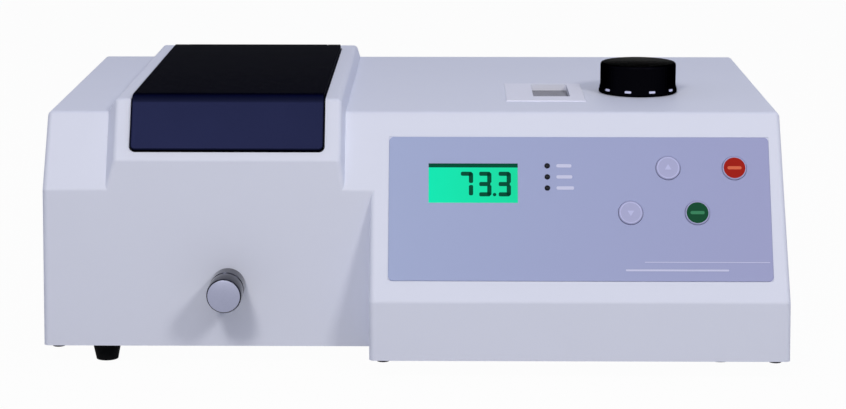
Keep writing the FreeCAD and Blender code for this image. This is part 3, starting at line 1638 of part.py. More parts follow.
def make_light_tubes():
    """Sleeves that keep the light in between lamp, monochromator, chamber and detector."""
    tubes = []
    outer = sized("tube_radius")
    detector_right = detector_left + sized("detector_width")
    for name, start, stop in (("exit_tube", chamber_right_out, mono_left),
                              ("detector_tube", detector_right, chamber_left_out)):
        sleeve = cylinder(name + "_outer", outer, stop - start, start, beam_y, beam_z, along="x")
        bore = cylinder(name + "_bore", sized("beam_radius"), stop - start, start, beam_y,
                        beam_z, along="x")
        tubes.append(cut(name, sleeve, [bore]))
    length = lamp_house_front - mono_back
    sleeve = cylinder("lens_tube_outer", sized("lens_radius") + sized("sheet_gauge"), length,
                      sized("lamp_x"), mono_back, beam_z, along="y")
    bore = cylinder("lens_tube_bore", sized("lens_radius"), length, sized("lamp_x"),
                    mono_back, beam_z, along="y")
    tubes.append(cut("lens_tube", sleeve, [bore]))
    group("light_tubes", tubes)


def make_condenser_lens():
    """Biconvex lens: the common part of two balls, inside its tube."""
    middle = (lamp_house_front + mono_back) / 2
    curve = sized("lens_curve")
    half = sized("lens_thickness") / 2
    rim = cylinder("lens_rim", sized("lens_radius"), sized("lens_thickness"),
                   sized("lamp_x"), middle - half, beam_z, along="y")
    balls = []
    for number, sign in enumerate((-1, 1)):
        ball = doc.addObject("Part::Sphere", "lens_ball_%d" % number)
        bind(ball, "Radius", curve)
        place(ball, sized("lamp_x"), middle + (curve - half) * sign, beam_z)
        balls.append(ball)
    both = doc.addObject("Part::MultiCommon", "lens_common")
    both.Shapes = [rim] + balls
    keep(both, "condenser_lens")


def make_lamp_house():
    """Folded sheet box with a port to the lens and cooling slots on top."""
    body = new_body("lamp_house")
    x = about(sized("lamp_x"), sized("lamp_house_width"))
    y = (lamp_house_front, lamp_house_front + sized("lamp_house_depth"))
    gauge = sized("sheet_gauge")
    block = sketch_on(body, "XY_Plane", "lamp_house_block", shift=lamp_house_low)
    rectangle(block, x, y)
    pad(body, block, lamp_house_top - lamp_house_low)
    inside = sketch_on(body, "XY_Plane", "lamp_house_inside",
                       shift=lamp_house_low + gauge)
    rectangle(inside, (x[0] + gauge, x[1] - gauge), (y[0] + gauge, y[1] - gauge))
    pocket(body, inside, lamp_house_top - lamp_house_low - gauge * 2,
           reverse=True)
    port = sketch_on(body, "XZ_Plane", "lamp_house_port", shift=-lamp_house_front)
    circle(port, sized("lamp_x"), beam_z, sized("beam_radius"))
    pocket(body, port, spare)
    slots = sketch_on(body, "XY_Plane", "lamp_house_slots", shift=lamp_house_top)
    for number in range(LAMP_SLOTS):
        middle = sized("lamp_x") + sized("vent_pitch") * (number - (LAMP_SLOTS - 1) / 2)
        rectangle(slots, about(middle, sized("vent_width")),
                  about(lamp_y, sized("vent_length") * 1.5))
    pocket(body, slots, spare)


def make_lamp():
    """Halogen capsule in its ceramic holder."""
    body = new_body("lamp_bulb")
    low = lamp_house_low + sized("sheet_gauge") + sized("holder_height")
    radius = sized("bulb_radius")
    length = sized("bulb_length")
    turned(body, "bulb_profile",
           [(0, low), (radius * 0.7, low), (radius, low + radius),
            (radius, low + length - radius), (radius * 0.7, low + length - radius * 0.3),
            (0, low + length)])
    place(body, sized("lamp_x"), lamp_y, 0)
    holder = new_body("lamp_holder")
    base = lamp_house_low + sized("sheet_gauge")
    wide = sized("holder_radius")
    turned(holder, "holder_profile",
           [(0, base), (wide, base), (wide, base + sized("holder_height") / 2),
            (wide * 0.6, base + sized("holder_height") / 2), (wide * 0.6, low), (0, low)])
    place(holder, sized("lamp_x"), lamp_y, 0)


def make_pillars():
    """Six-sided stand-offs under the monochromator and the lamp house."""
    inset = sized("pillar_inset")
    pillars = []
    places = [(x, y, mono_low) for x in (mono_left + inset,
                                                  mono_right - inset)
              for y in (mono_front + inset, mono_back - inset)]
    x = about(sized("lamp_x"), sized("lamp_house_width") - inset * 2)
    y = (lamp_house_front + inset, lamp_house_front + sized("lamp_house_depth") - inset)
    places += [(one, two, lamp_house_low) for one in x for two in y]
    for number, (one, two, top) in enumerate(places, start=1):
        pillars.append(hex_post("pillar_%d" % number, sized("pillar_radius"), top - plate_top,
                                one, two, plate_top))
    group("support_pillars", pillars)


def make_detector():
    """Photodiode in a screened box on a folded stand."""
    left = detector_left
    right = left + sized("detector_width")
    half = sized("detector_width") / 2
    gauge = sized("sheet_gauge")
    low, high = beam_z - half, beam_z + half
    outer = box("detector_outer", (left, right), about(beam_y, half * 2), (low, high))
    inner = box("detector_inner", (left + gauge, right - gauge),
                about(beam_y, (half - gauge) * 2), (low + gauge, high - gauge))
    port = cylinder("detector_port", sized("beam_radius"), gauge * 2, right - gauge * 1.5,
                    beam_y, beam_z, along="x")
    keep(cut("detector_cut", outer, [inner, port]), "detector_housing")
    can = cylinder("diode_can", sized("diode_radius"), sized("diode_length"),
                   detector_board_x + sized("board_thickness"), beam_y, beam_z, along="x")
    rim = cylinder("diode_rim", sized("diode_radius") + sized("diode_rim"),
                   sized("diode_rim_height"),
                   detector_board_x + sized("board_thickness"), beam_y, beam_z, along="x")
    keep(fuse("diode_whole", [can, rim]), "photodiode")
    foot = box("stand_foot", (left, right), about(beam_y, half * 2),
               (plate_top, plate_top + gauge))
    head = box("stand_head", (left, right), about(beam_y, half * 2), (low - gauge, low))
    webs = [box("stand_web_%d" % number, (left, right), (y, y + gauge), (plate_top, low))
            for number, y in enumerate((beam_y - half, beam_y + half - gauge))]
    keep(fuse("stand_whole", [foot, head] + webs), "detector_stand")


def make_circuit_boards():
    """Main board, power board and detector board, with their larger parts."""
    thick = sized("board_thickness")
    under = plate_top + sized("board_lift")
    over = under + thick
    inset = sized("board_foot_inset")
    boards = {"main": (main_board_x, main_board_y), "power": (power_board_x, power_board_y)}
    pieces = {}
    for name, (x, y) in boards.items():
        feet = [(one, two) for one in (x[0] + inset, x[1] - inset)
                for two in (y[0] + inset, y[1] - inset)]
        pieces[name] = [box(name + "_board", x, y, (under, over))]
        pieces[name] += [hex_post("%s_foot_%d" % (name, number), sized("board_foot_radius"),
                                  sized("board_lift"), one, two, plate_top)
                         for number, (one, two) in enumerate(feet, start=1)]
    row = (main_board_y[0] + main_board_y[1]) / 2
    for number in range(CHIPS):
        middle = main_board_x[0] + sized("chip_pitch") * (number + 1)
        pieces["main"].append(box("main_chip_%d" % number, about(middle, sized("chip_width")),
                                  about(row, sized("chip_length")),
                                  (over, over + sized("chip_height"))))
    row = power_board_y[1] - sized("capacitor_radius") - inset
    for number in range(CAPACITORS):
        middle = power_board_x[0] + sized("capacitor_pitch") * (number + 1)
        pieces["power"].append(cylinder("capacitor_%d" % number, sized("capacitor_radius"),
                                        sized("capacitor_height"), middle, row, over))
    sense = box("detector_board", (detector_board_x, detector_board_x + thick),
                about(beam_y, sized("detector_width") - sized("sheet_gauge") * 2),
                about(beam_z, sized("detector_width") - sized("sheet_gauge") * 2))
    group("circuit_boards", [fuse(name + "_board_whole", solids)
                             for name, solids in pieces.items()] + [sense])


def make_transformer():
    x, y = transformer_x, transformer_y
    low = plate_top
    core = box("core_block", x, y, (low, low + sized("core_height")))
    window = box("core_window", (x[0] - 1, x[1] + 1),
                 (y[0] + sized("core_leg"), y[1] - sized("core_leg")),
                 (low + sized("core_leg"), low + sized("core_height") - sized("core_leg")))
    keep(cut("core_cut", core, [window]), "transformer_core")
    keep(box("coil_block", (x[0] - sized("core_leg") / 2, x[1] + sized("core_leg") / 2),
             (y[0] + sized("core_leg"), y[1] - sized("core_leg")),
             (low + sized("core_leg"), low + sized("core_height") - sized("core_leg"))),
         "transformer_coil")


def make_rear_panel():
    """Sheet plate behind the rear opening, cut for its fittings."""
    margin = sized("rear_panel_margin")
    x = (rear_opening_x[0] - margin, rear_opening_x[1] + margin)
    z = (plate_top, rear_opening_z[1] + margin)
    body = new_body("rear_panel")
    plate = sketch_on(body, "XZ_Plane", "rear_panel_plate", shift=-rear_panel_face)
    rectangle(plate, x, z)
    pad(body, plate, sized("sheet_gauge"))
    holes = sketch_on(body, "XZ_Plane", "rear_panel_holes", shift=-rear_panel_face)
    rectangle(holes, about(sized("inlet_x"), sized("inlet_width")),
              about(sized("fitting_height"), sized("inlet_height")))
    rectangle(holes, about(sized("switch_x"), sized("switch_width")),
              about(sized("fitting_height"), sized("switch_height")))
    circle(holes, sized("fuse_x"), sized("fitting_height"), sized("fuse_radius"))
    pocket(body, holes, both_ways=True)


def make_power_inlet():
    """Appliance inlet: flange, shell, socket hollow and three pins."""
    x, z = sized("inlet_x"), sized("fitting_height")
    width, height = sized("inlet_width"), sized("inlet_height")
    margin = sized("inlet_flange")
    depth = sized("inlet_depth")
    face = rear_panel_face + sized("fitting_flange")
    shell = box("inlet_shell", about(x, width), (face - depth, rear_panel_face),
                about(z, height))
    flange = box("inlet_flange_plate", about(x, width + margin * 2), (rear_panel_face, face),
                 about(z, height + margin))
    back = face - depth + sized("inlet_back")
    skin = sized("inlet_wall") * 2
    hollow = box("inlet_hollow", about(x, width - skin), (back, face + 1), about(z, height - skin))
    spread, drop = sized("pin_spread"), sized("pin_drop")
    pins = [box("inlet_pin_%d" % number, about(x + step, sized("pin_width")),
                (back, face - sized("pin_recess")), about(z + rise, sized("pin_height")))
            for number, (step, rise) in enumerate(((-spread, -drop), (0, sized("earth_pin_rise")),
                                                   (spread, -drop)))]
    keep(fuse("inlet_whole", [cut("inlet_cut", fuse("inlet_solid", [shell, flange]), [hollow])]
              + pins), "power_inlet")


def make_fuse_holder():
    x, z = sized("fuse_x"), sized("fitting_height")
    barrel = cylinder("fuse_barrel", sized("fuse_radius"), sized("fuse_depth"), x,
                      rear_panel_face - sized("fuse_depth"), z, along="y")
    cap = cylinder("fuse_cap", sized("fuse_radius") + sized("fuse_cap_rim"), sized("fuse_cap"), x,
                   rear_panel_face, z, along="y")
    keep(fuse("fuse_whole", [barrel, cap]), "fuse_holder")


def make_power_switch():
    """Rocker switch: a snap-in frame and the rocker that tilts in it."""
    x, z = sized("switch_x"), sized("fitting_height")
    width, height = sized("switch_width"), sized("switch_height")
    lip = sized("switch_lip")
    face = rear_panel_face + sized("fitting_flange")
    back = rear_panel_face - sized("switch_depth")
    case = box("switch_case", about(x, width), (back, rear_panel_face), about(z, height))
    bezel = box("switch_bezel", about(x, width + lip * 2), (rear_panel_face, face),
                about(z, height + lip * 2))
    hollow = box("switch_hollow", about(x, width - lip * 2),
                 (back + lip, face + 1), about(z, height - lip * 2))
    pivot = sized("rocker_pivot_radius")
    sockets = cylinder("switch_sockets", pivot + sized("running_clearance"), width - lip,
                       x - (width - lip) / 2, face, z, along="x")
    keep(cut("switch_cut", fuse("switch_solid", [case, bezel]), [hollow, sockets]),
         "switch_frame")
    body = new_body("switch_rocker")
    length = height - lip * 2 - sized("rocker_gap") * 2
    rock = sketch_on(body, "YZ_Plane", "rocker_profile")
    crown = sized("rocker_crown")
    outline(rock, [(crown, -length / 2), (crown * 0.3, 0), (crown, length / 2),
                   (-crown, length * 0.32), (-crown * 1.6, 0), (-crown, -length * 0.32)])
    pad(body, rock, width - lip * 2 - sized("rocker_gap") * 2, both_ways=True)
    stubs = sketch_on(body, "YZ_Plane", "rocker_stubs")
    circle(stubs, 0, 0, pivot)
    pad(body, stubs, width - lip - sized("running_clearance") * 2, both_ways=True)
    body.Placement = Placement(Vector(), Rotation(X_AXIS, -float(sized("rocker_tilt"))))
    bind(body, "Placement.Rotation.Angle", sized("rocker_tilt"))
    place(body, x, face, z)


def make_heat_sink():
    """Finned block on the rear panel that cools the regulator."""
    body = new_body("heat_sink")
    x = about(sized("sink_x"), sized("sink_width"))
    z = (rear_opening_z[0] + sized("sink_low_inset"),
         rear_opening_z[1] - sized("sink_high_inset"))
    plate = sketch_on(body, "XZ_Plane", "sink_plate", shift=-rear_panel_face)
    rectangle(plate, x, z)
    pad(body, plate, sized("sink_base"), reverse=True)
    fins = sketch_on(body, "XZ_Plane", "sink_fin", shift=-rear_panel_face - sized("sink_base"))
    rectangle(fins, (x[0], x[0] + sized("fin_thickness")), z)
    fin = pad(body, fins, case_back + sized("rear_reach") - rear_panel_face
              - sized("sink_base"), reverse=True)
    row = body.newObject("PartDesign::LinearPattern", "sink_fins")
    row.Originals = [fin]
    row.Direction = (fins, ["H_Axis"])
    bind(row, "Length", sized("sink_width") - sized("fin_thickness"))
    row.Occurrences = FINS
    body.Tip = row


def make_scale_window():
    """Frame of the scale opening, with a bevelled flange on the roof, and its pane."""
    body = new_body("scale_window_frame")
    gap = sized("window_gap")
    rim = sized("window_rim")
    high = sized("bezel_height")
    low = window_floor - sized("window_glass") - rim
    x = (window_x[0] + gap, window_x[1] - gap)
    y = (window_y[0] + gap, window_y[1] - gap)
    flange = sketch_on(body, "XY_Plane", "frame_flange", shift=roof)
    rectangle(flange, bezel_x, bezel_y)
    pad(body, flange, high)
    doc.recompute()
    top = body.Tip
    bevel = body.newObject("PartDesign::Chamfer", "frame_bevel")
    bevel.Base = (top, edges_where(top, lambda edge: abs(edge.BoundBox.ZMin - float(roof + high))
                                   < 0.01))
    bind(bevel, "Size", sized("bezel_bevel"))
    sleeve = sketch_on(body, "XY_Plane", "frame_sleeve", shift=roof)
    rectangle(sleeve, x, y)
    pad(body, sleeve, roof - low, reverse=True)
    well = sketch_on(body, "XY_Plane", "frame_well", shift=low + rim)
    rectangle(well, (x[0] + rim, x[1] - rim), (y[0] + rim, y[1] - rim))
    pocket(body, well, reverse=True)
    hole = sketch_on(body, "XY_Plane", "frame_hole", shift=low)
    rectangle(hole, (x[0] + rim * 2, x[1] - rim * 2), (y[0] + rim * 2, y[1] - rim * 2))
    pocket(body, hole, both_ways=True)
    keep(box("pane_block", (x[0] + rim, x[1] - rim), (y[0] + rim, y[1] - rim),
             (low + rim, low + rim + sized("window_glass"))), "scale_window_pane")


make_top_cover()
make_base_plate()
make_feet()
make_case_screws()
make_sample_chamber()
make_hinge_pins()
make_lid()
make_lid_seal()
make_rails()
make_carriage()
make_rack()
make_cuvettes()
make_pull_rod()
make_pull_knob()
make_rod_bush()
make_control_panel()
make_lcd_module()
make_display_board()
make_tact_switches()
make_buttons()
make_indicator_leds()
make_wavelength_knob()
make_wavelength_shaft()
make_wavelength_dial()
make_shaft_bearing()
make_cam()
make_cam_arm()
make_cam_roller()
make_grating_table()
make_grating()
make_monochromator()
make_mirrors()
make_slits()
make_light_tubes()
make_condenser_lens()
make_lamp_house()
make_lamp()
make_pillars()
make_detector()
make_circuit_boards()
make_transformer()
make_rear_panel()
make_power_inlet()
make_fuse_holder()
make_power_switch()
make_heat_sink()
make_scale_window()

doc.recompute()
for item in doc.Objects:
    if "Invalid" in item.State or "Error" in item.State:
        raise RuntimeError("%s failed: %s" % (item.Name, item.State))
os.makedirs("parts", exist_ok=True)
for part in parts:
    shape = part.Shape
    if shape.isNull() or not shape.isValid() or shape.Volume <= 0:
        raise RuntimeError("%s has no valid shape" % part.Label)
for part in parts:
    part.Shape.exportStep("parts/%s.step" % part.Label)
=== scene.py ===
import math

import bmesh
import bpy
from bpy.props import (FloatProperty, FloatVectorProperty, IntProperty, PointerProperty,
                       StringProperty)
from mathutils import Matrix, Vector


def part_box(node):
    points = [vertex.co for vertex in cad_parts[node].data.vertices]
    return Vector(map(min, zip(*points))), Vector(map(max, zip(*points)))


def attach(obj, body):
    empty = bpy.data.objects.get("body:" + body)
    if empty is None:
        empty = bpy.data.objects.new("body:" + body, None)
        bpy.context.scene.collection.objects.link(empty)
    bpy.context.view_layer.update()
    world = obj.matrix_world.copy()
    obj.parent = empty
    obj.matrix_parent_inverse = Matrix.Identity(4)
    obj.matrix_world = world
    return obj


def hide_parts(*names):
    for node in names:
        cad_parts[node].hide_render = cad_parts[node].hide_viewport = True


bl_info = {
    "name": "Visible spectrophotometer",
    "version": (1, 0, 0),
    "blender": (4, 5, 0),
    "location": "3D View > Sidebar > Spectrophotometer",
    "description": "Dresses the packed spectrophotometer and sets its studio",
    "category": "Object",
}

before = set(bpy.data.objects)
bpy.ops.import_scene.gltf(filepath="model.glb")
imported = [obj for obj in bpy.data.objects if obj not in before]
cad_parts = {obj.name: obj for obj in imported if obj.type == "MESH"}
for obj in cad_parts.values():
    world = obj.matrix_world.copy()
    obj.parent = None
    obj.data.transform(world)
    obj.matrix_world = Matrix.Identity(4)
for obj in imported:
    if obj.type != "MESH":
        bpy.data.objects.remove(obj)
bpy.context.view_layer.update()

MM = 0.001

# The console slope, as the model has it.
SLOPE = math.radians(61.5)
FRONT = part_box("top_cover")[0].y
LIP_TOP = 50.4 * MM
PANEL_FACE = 0.4 * MM
ON_SLOPE = Matrix.Translation((0, FRONT, LIP_TOP)) @ Matrix.Rotation(SLOPE, 4, "X")

# Indicator lights, in millimetres up the slope.
INDICATORS = (88.7, 81.4, 74.1)

# Sides of a small round, and of one that is seen larger.
SMALL_ROUND = 32
LARGE_ROUND = 48

# Lit segments of a seven-segment digit: top, upper left, upper right, middle,
# lower left, lower right, bottom.
SEGMENTS = {
    "7": (1, 0, 1, 0, 0, 1, 0),
    "3": (1, 0, 1, 1, 0, 1, 1),
}


def linear(code, alpha=1.0):
    """An sRGB hex colour as the linear values that a shader takes."""
    parts = [int(code[start:start + 2], 16) / 255 for start in (0, 2, 4)]
    light = [part / 12.92 if part <= 0.04045 else ((part + 0.055) / 1.055) ** 2.4
             for part in parts]
    return (*light, alpha)


def swatch(label, code, text):
    """A colour property that starts from an sRGB hex colour."""
    return FloatVectorProperty(name=label, description=text, subtype="COLOR", size=3,
                               min=0, max=1, default=linear(code)[:3])


def length(label, size, text):
    """A length property whose default is given in millimetres."""
    return FloatProperty(name=label, description=text, subtype="DISTANCE", unit="LENGTH",
                         min=0, default=size * MM)


class SpectroColours(bpy.types.PropertyGroup):
    """Colours that a user would change."""

    casing: swatch("Casing", "D7DCEE", "Moulded casing")
    panel: swatch("Panel", "9398C3", "Printed film of the control panel")
    lid: swatch("Lid", "12152B", "Smoked lid of the sample chamber")
    grip: swatch("Wavelength knob", "06060A", "Moulded knob on the roof")
    display: swatch("Display", "0DE1AC", "Backlit face of the display")
    # The digits' colour also paints the shadow bar at the top of the display.
    digit: swatch("Digits", "004E38", "Lit segments of the display")
    key: swatch("Key caps", "A9ACD2", "Moulded caps of the keys")
    red_key: swatch("Red key", "A01C12", "Face of the red key")
    green_key: swatch("Green key", "0F4A30", "Face of the green key")
    # The pale print colour also paints the glints on the wavelength knob's skirt.
    pale_print_and_glint: swatch("Pale print", "C9CCE8", "Pale printing on the panel")


class SpectroSizes(bpy.types.PropertyGroup):
    """Sizes that a user would change."""

    digit_height: length("Digit height", 16.2, "Height of a digit on the display")
    digit_stroke: length("Digit stroke", 2.7, "Breadth of one lit segment")
    print_depth: length("Print", 0.06, "Thickness of the printing on the panel")
    line_width: length("Panel line", 0.7, "Breadth of the pale line on the panel")
    key_disc: length("Key disc", 6.8, "Radius of the coloured face of a key")
    # The pale ring on a grey key paints the highlight on its rim.
    key_highlight_ring: length("Key ring", 0.5, "Breadth of the pale ring on a grey key")
    flute_depth: length("Flutes", 0.12, "Depth of the fine flutes round the knob's grip")
    flutes: IntProperty(name="Flute count", description="Flutes round the knob's grip",
                        default=72, min=6)
    reading: StringProperty(name="Reading", description="Number on the display, with one point",
                            default="73.3")


def colours():
    return bpy.context.scene.spectro_colours


def sizes():
    return bpy.context.scene.spectro_sizes


def tinted(colour, alpha=1.0):
    return (*colour, alpha)


def shaded(colour, factor):
    """A colour made lighter or darker by a factor."""
    return tuple(min(1.0, part * factor) for part in colour[:3]) + (1.0,)


def add_node(tree, kind, inputs=None, **settings):
    """Add one node, set its fields, and set or link its inputs."""
    made = tree.nodes.new(kind)
    for name, value in settings.items():
        setattr(made, name, value)
    for name, value in (inputs or {}).items():
        if isinstance(value, bpy.types.NodeSocket):
            tree.links.new(value, made.inputs[name])
        else:
            made.inputs[name].default_value = value
    return made


def new_material(name):
    """An empty node material, with its tree and the object's own coordinates."""
    made = bpy.data.materials.new(name)
    made.use_nodes = True
    tree = made.node_tree
    tree.nodes.clear()
    place = add_node(tree, "ShaderNodeTexCoord").outputs["Object"]
    return made, tree, place


def surface(tree, shader):
    add_node(tree, "ShaderNodeOutputMaterial", {"Surface": shader.outputs[0]})


def grain(tree, place, spacing, detail=2.0):
    """Noise whose features are about one spacing, in millimetres, apart."""
    return add_node(tree, "ShaderNodeTexNoise",
                    {"Vector": place, "Scale": 1 / (spacing * MM), "Detail": detail,
                     "Roughness": 0.5})


def between(tree, factor, low, high, first=0.0, last=1.0):
    """Turn a factor into a value between low and high."""
    return add_node(tree, "ShaderNodeMapRange",
                    {"Value": factor, "From Min": first, "From Max": last,
                     "To Min": low, "To Max": high}).outputs["Result"]


def mixed(tree, factor, one, other):
    """A colour between two, by a factor."""
    made = add_node(tree, "ShaderNodeMix", data_type="RGBA")
    tree.links.new(factor, made.inputs["Factor"])
    for socket, value in ((made.inputs[6], one), (made.inputs[7], other)):
        if isinstance(value, bpy.types.NodeSocket):
            tree.links.new(value, socket)
        else:
            socket.default_value = value
    return made.outputs[2]


def bumped(tree, height, depth):
    """Surface relief of a depth in millimetres."""
    return add_node(tree, "ShaderNodeBump", {"Height": height, "Distance": depth * MM,
                                             "Strength": 1.0}).outputs["Normal"]


def moulded(name, colour, roughness=0.5, spacing=0.9, depth=0.03, level=0.5, shade=0.97):
    """Moulded plastic with a spark-eroded grain, which breaks up its sheen.

    Real grain is about 0.2 mm across; it is drawn coarser so that it shows.
    """
    made, tree, place = new_material(name)
    fine = grain(tree, place, spacing)
    cloud = grain(tree, place, 60)
    base = mixed(tree, cloud.outputs["Fac"], shaded(colour, shade), tinted(colour))
    rough = between(tree, fine.outputs["Fac"], roughness - 0.05, roughness + 0.05)
    shader = add_node(tree, "ShaderNodeBsdfPrincipled",
                      {"Base Color": base, "Roughness": rough, "IOR": 1.5,
                       "Specular IOR Level": level,
                       "Normal": bumped(tree, fine.outputs["Fac"], depth)})
    surface(tree, shader)
    return made


def face_spot(node):
    """Middle of a node on the slope, and how far its face stands out, in metres."""
    back = ON_SLOPE.inverted()
    places = [back @ vert.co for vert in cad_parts[node].data.vertices]
    low = [min(place[axis] for place in places) for axis in (0, 1)]
    high = [max(place[axis] for place in places) for axis in (0, 1, 2)]
    return Vector(((low[0] + high[0]) / 2, (low[1] + high[1]) / 2, high[2]))


def casing_plastic():
    """Pale moulded ABS of the casing: satin, with a lilac cast."""
    return moulded("casing_moulded_abs", colours().casing, roughness=0.55, spacing=1.1,
                   depth=0.02, level=0.3, shade=0.985)


def black_moulding():
    """Black moulded ABS of the fittings and the chamber: matt and close-grained."""
    return moulded("black_moulded_abs", linear("18181C")[:3], roughness=0.6, depth=0.04)


def metal(name, code, roughness=0.3, stretch=(1, 1, 1), spacing=0.6, depth=0.01):
    """A bare metal whose finish is a grain stretched along the working direction."""
    made, tree, place = new_material(name)
    lined = add_node(tree, "ShaderNodeMapping", {"Vector": place, "Scale": stretch})
    fine = grain(tree, lined.outputs["Vector"], spacing, detail=4)
    base = mixed(tree, fine.outputs["Fac"], shaded(linear(code), 0.85), linear(code))
    rough = between(tree, fine.outputs["Fac"], roughness - 0.08, roughness + 0.08)
    shader = add_node(tree, "ShaderNodeBsdfPrincipled",
                      {"Base Color": base, "Metallic": 1.0, "Roughness": rough,
                       "Normal": bumped(tree, fine.outputs["Fac"], depth)})
    surface(tree, shader)
    return made


def ground_steel():
    """Ground silver steel of pins, rails and shafts: fine lines, bright."""
    return metal("ground_steel", "C4C6CC", roughness=0.22, stretch=(1, 0.05, 1))


def zinc_steel():
    """Zinc-plated sheet: cool grey with a cloudy spangle."""
    return metal("zinc_plated_sheet", "AEB2BA", roughness=0.42, spacing=5, depth=0.005)


def turned_brass():
    """Turned brass of bushes and rollers: warm, with fine tool lines."""
    return metal("turned_brass", "C9A45C", roughness=0.28, stretch=(1, 1, 12))


def plain_aluminium():
    """Turned aluminium of the stand-offs: pale and satin."""
    return metal("turned_aluminium", "C9CBD0", roughness=0.35, stretch=(1, 1, 12))


def anodised_black():
    """Black anodised aluminium: a matt dyed film with a faint metal glint."""
    made, tree, place = new_material("black_anodised_aluminium")
    fine = grain(tree, place, 0.5, detail=4)
    base = mixed(tree, fine.outputs["Fac"], linear("141417"), linear("202024"))
    shader = add_node(tree, "ShaderNodeBsdfPrincipled",
                      {"Base Color": base, "Metallic": 0.6,
                       "Roughness": between(tree, fine.outputs["Fac"], 0.42, 0.55),
                       "Normal": bumped(tree, fine.outputs["Fac"], 0.01)})
    surface(tree, shader)
    return made


def lid_acrylic():
    """Smoked gloss plastic of the lid: nearly black, it lights up only by mirroring.

    The facing sides mirror the key light as a dim navy; a dark specular tint keeps
    the grazing sides as black as the real lid's top.
    """
    made, tree, place = new_material("smoked_gloss_lid")
    fine = grain(tree, place, 0.8)
    cloud = grain(tree, place, 35)
    base = mixed(tree, cloud.outputs["Fac"], shaded(colours().lid, 0.85), tinted(colours().lid))
    shader = add_node(tree, "ShaderNodeBsdfPrincipled",
                      {"Base Color": base, "Metallic": 1.0,
                       "Roughness": between(tree, fine.outputs["Fac"], 0.38, 0.46),
                       "Specular Tint": linear("000000"),
                       "Normal": bumped(tree, fine.outputs["Fac"], 0.01)})
    surface(tree, shader)
    return made


def grip_phenolic():
    """Black moulded phenolic of the wavelength knob: deep black with soft glints."""
    made, tree, place = new_material("black_phenolic_grip")
    fine = grain(tree, place, 0.7)
    base = mixed(tree, fine.outputs["Fac"], shaded(colours().grip, 0.8), tinted(colours().grip))
    shader = add_node(tree, "ShaderNodeBsdfPrincipled",
                      {"Base Color": base, "Metallic": 1.0,
                       "Roughness": between(tree, fine.outputs["Fac"], 0.3, 0.42),
                       "Specular Tint": linear("101014"),
                       "Normal": bumped(tree, fine.outputs["Fac"], 0.02)})
    surface(tree, shader)
    return made


def panel_film():
    """Printed polyester film: blue-grey, a little bluer to the left, fine-grained."""
    made, tree, place = new_material("printed_polyester_film")
    low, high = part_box("control_panel")
    fine = grain(tree, place, 0.6)
    across = add_node(tree, "ShaderNodeSeparateXYZ", {"Vector": place}).outputs["X"]
    share = between(tree, across, 0.0, 1.0, low.x, high.x)
    base = mixed(tree, share, linear("96A3CB"), tinted(colours().panel))
    shader = add_node(tree, "ShaderNodeBsdfPrincipled",
                      {"Base Color": base, "IOR": 1.57, "Specular IOR Level": 0.3,
                       "Roughness": between(tree, fine.outputs["Fac"], 0.42, 0.5),
                       "Normal": bumped(tree, fine.outputs["Fac"], 0.015)})
    surface(tree, shader)
    return made


def printing():
    """Pale screen-printed ink: matt and even."""
    # The same pale ink paints the glints on the wavelength knob's skirt as dashes.
    return moulded("pale_ink_and_painted_glint", colours().pale_print_and_glint, roughness=0.6, depth=0.005,
                   level=0.2)


def dark_printing():
    """Dark printing ink of scale marks and key marks."""
    return moulded("dark_printing_ink", linear("15151C")[:3], roughness=0.6, depth=0.005,
                   level=0.2)


def display_green():
    """Backlit liquid crystal: green that glows, brighter to the left."""
    made, tree, place = new_material("backlit_liquid_crystal")
    low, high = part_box("lcd_module")
    across = add_node(tree, "ShaderNodeSeparateXYZ", {"Vector": place}).outputs["X"]
    share = between(tree, across, 0.0, 1.0, low.x, high.x)
    cloud = grain(tree, place, 22)
    tone = mixed(tree, share, linear("0AEBB6"), linear("1AD89C"))
    tone = mixed(tree, between(tree, cloud.outputs["Fac"], 0.0, 0.6, 0.3, 0.7), tone,
                 tinted(colours().display))
    shader = add_node(tree, "ShaderNodeBsdfPrincipled",
                      {"Base Color": (0.0, 0.0, 0.0, 1.0), "Roughness": 0.35,
                       "Specular IOR Level": 0.02,
                       "Emission Color": tone, "Emission Strength": 1.0})
    surface(tree, shader)
    return made


def digit_ink():
    """Dark green of a lit segment over the glowing ground."""
    # The same ink paints the shadow bar along the top of the display.
    return moulded("segment_ink_and_painted_shadow", colours().digit, roughness=0.5, depth=0.002, level=0.03)


def key_cap(name, colour):
    """Moulded key cap: smooth satin plastic."""
    return moulded(name, colour, roughness=0.45, spacing=0.8, depth=0.01, level=0.15)


def key_enamel_and_glint(name, colour):
    """Coloured enamel let into a key: deep and even, with hardly any sheen."""
    # A lighter tint of this enamel paints the highlight bar across the red and green keys.
    return moulded(name, colour, roughness=0.5, spacing=0.8, depth=0.004, level=0.05)


def indicator_lens():
    """Unlit smoked lens of an indicator light."""
    return moulded("smoked_indicator_lens", linear("0C0C18")[:3], roughness=0.3, depth=0.002,
                   level=0.12)


def chrome():
    """Bright chrome over turned brass: fine rings round the axis catch the light."""
    made, tree, place = new_material("bright_chrome_plate")
    low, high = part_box("rod_bush")
    centre = (low + high) / 2
    moved = add_node(tree, "ShaderNodeMapping",
                     {"Vector": place, "Location": (-centre.x, 0, -centre.z)})
    rings = add_node(tree, "ShaderNodeTexWave",
                     {"Vector": moved.outputs["Vector"], "Scale": 1 / (4 * MM),
                      "Distortion": 0.4, "Detail": 1.0},
                     wave_type="RINGS", rings_direction="Y", bands_direction="Y")
    shader = add_node(tree, "ShaderNodeBsdfPrincipled",
                      {"Base Color": linear("B9BBC8"), "Metallic": 1.0,
                       "Roughness": between(tree, rings.outputs["Fac"], 0.1, 0.2),
                       "Normal": bumped(tree, rings.outputs["Fac"], 0.004)})
    surface(tree, shader)
    return made


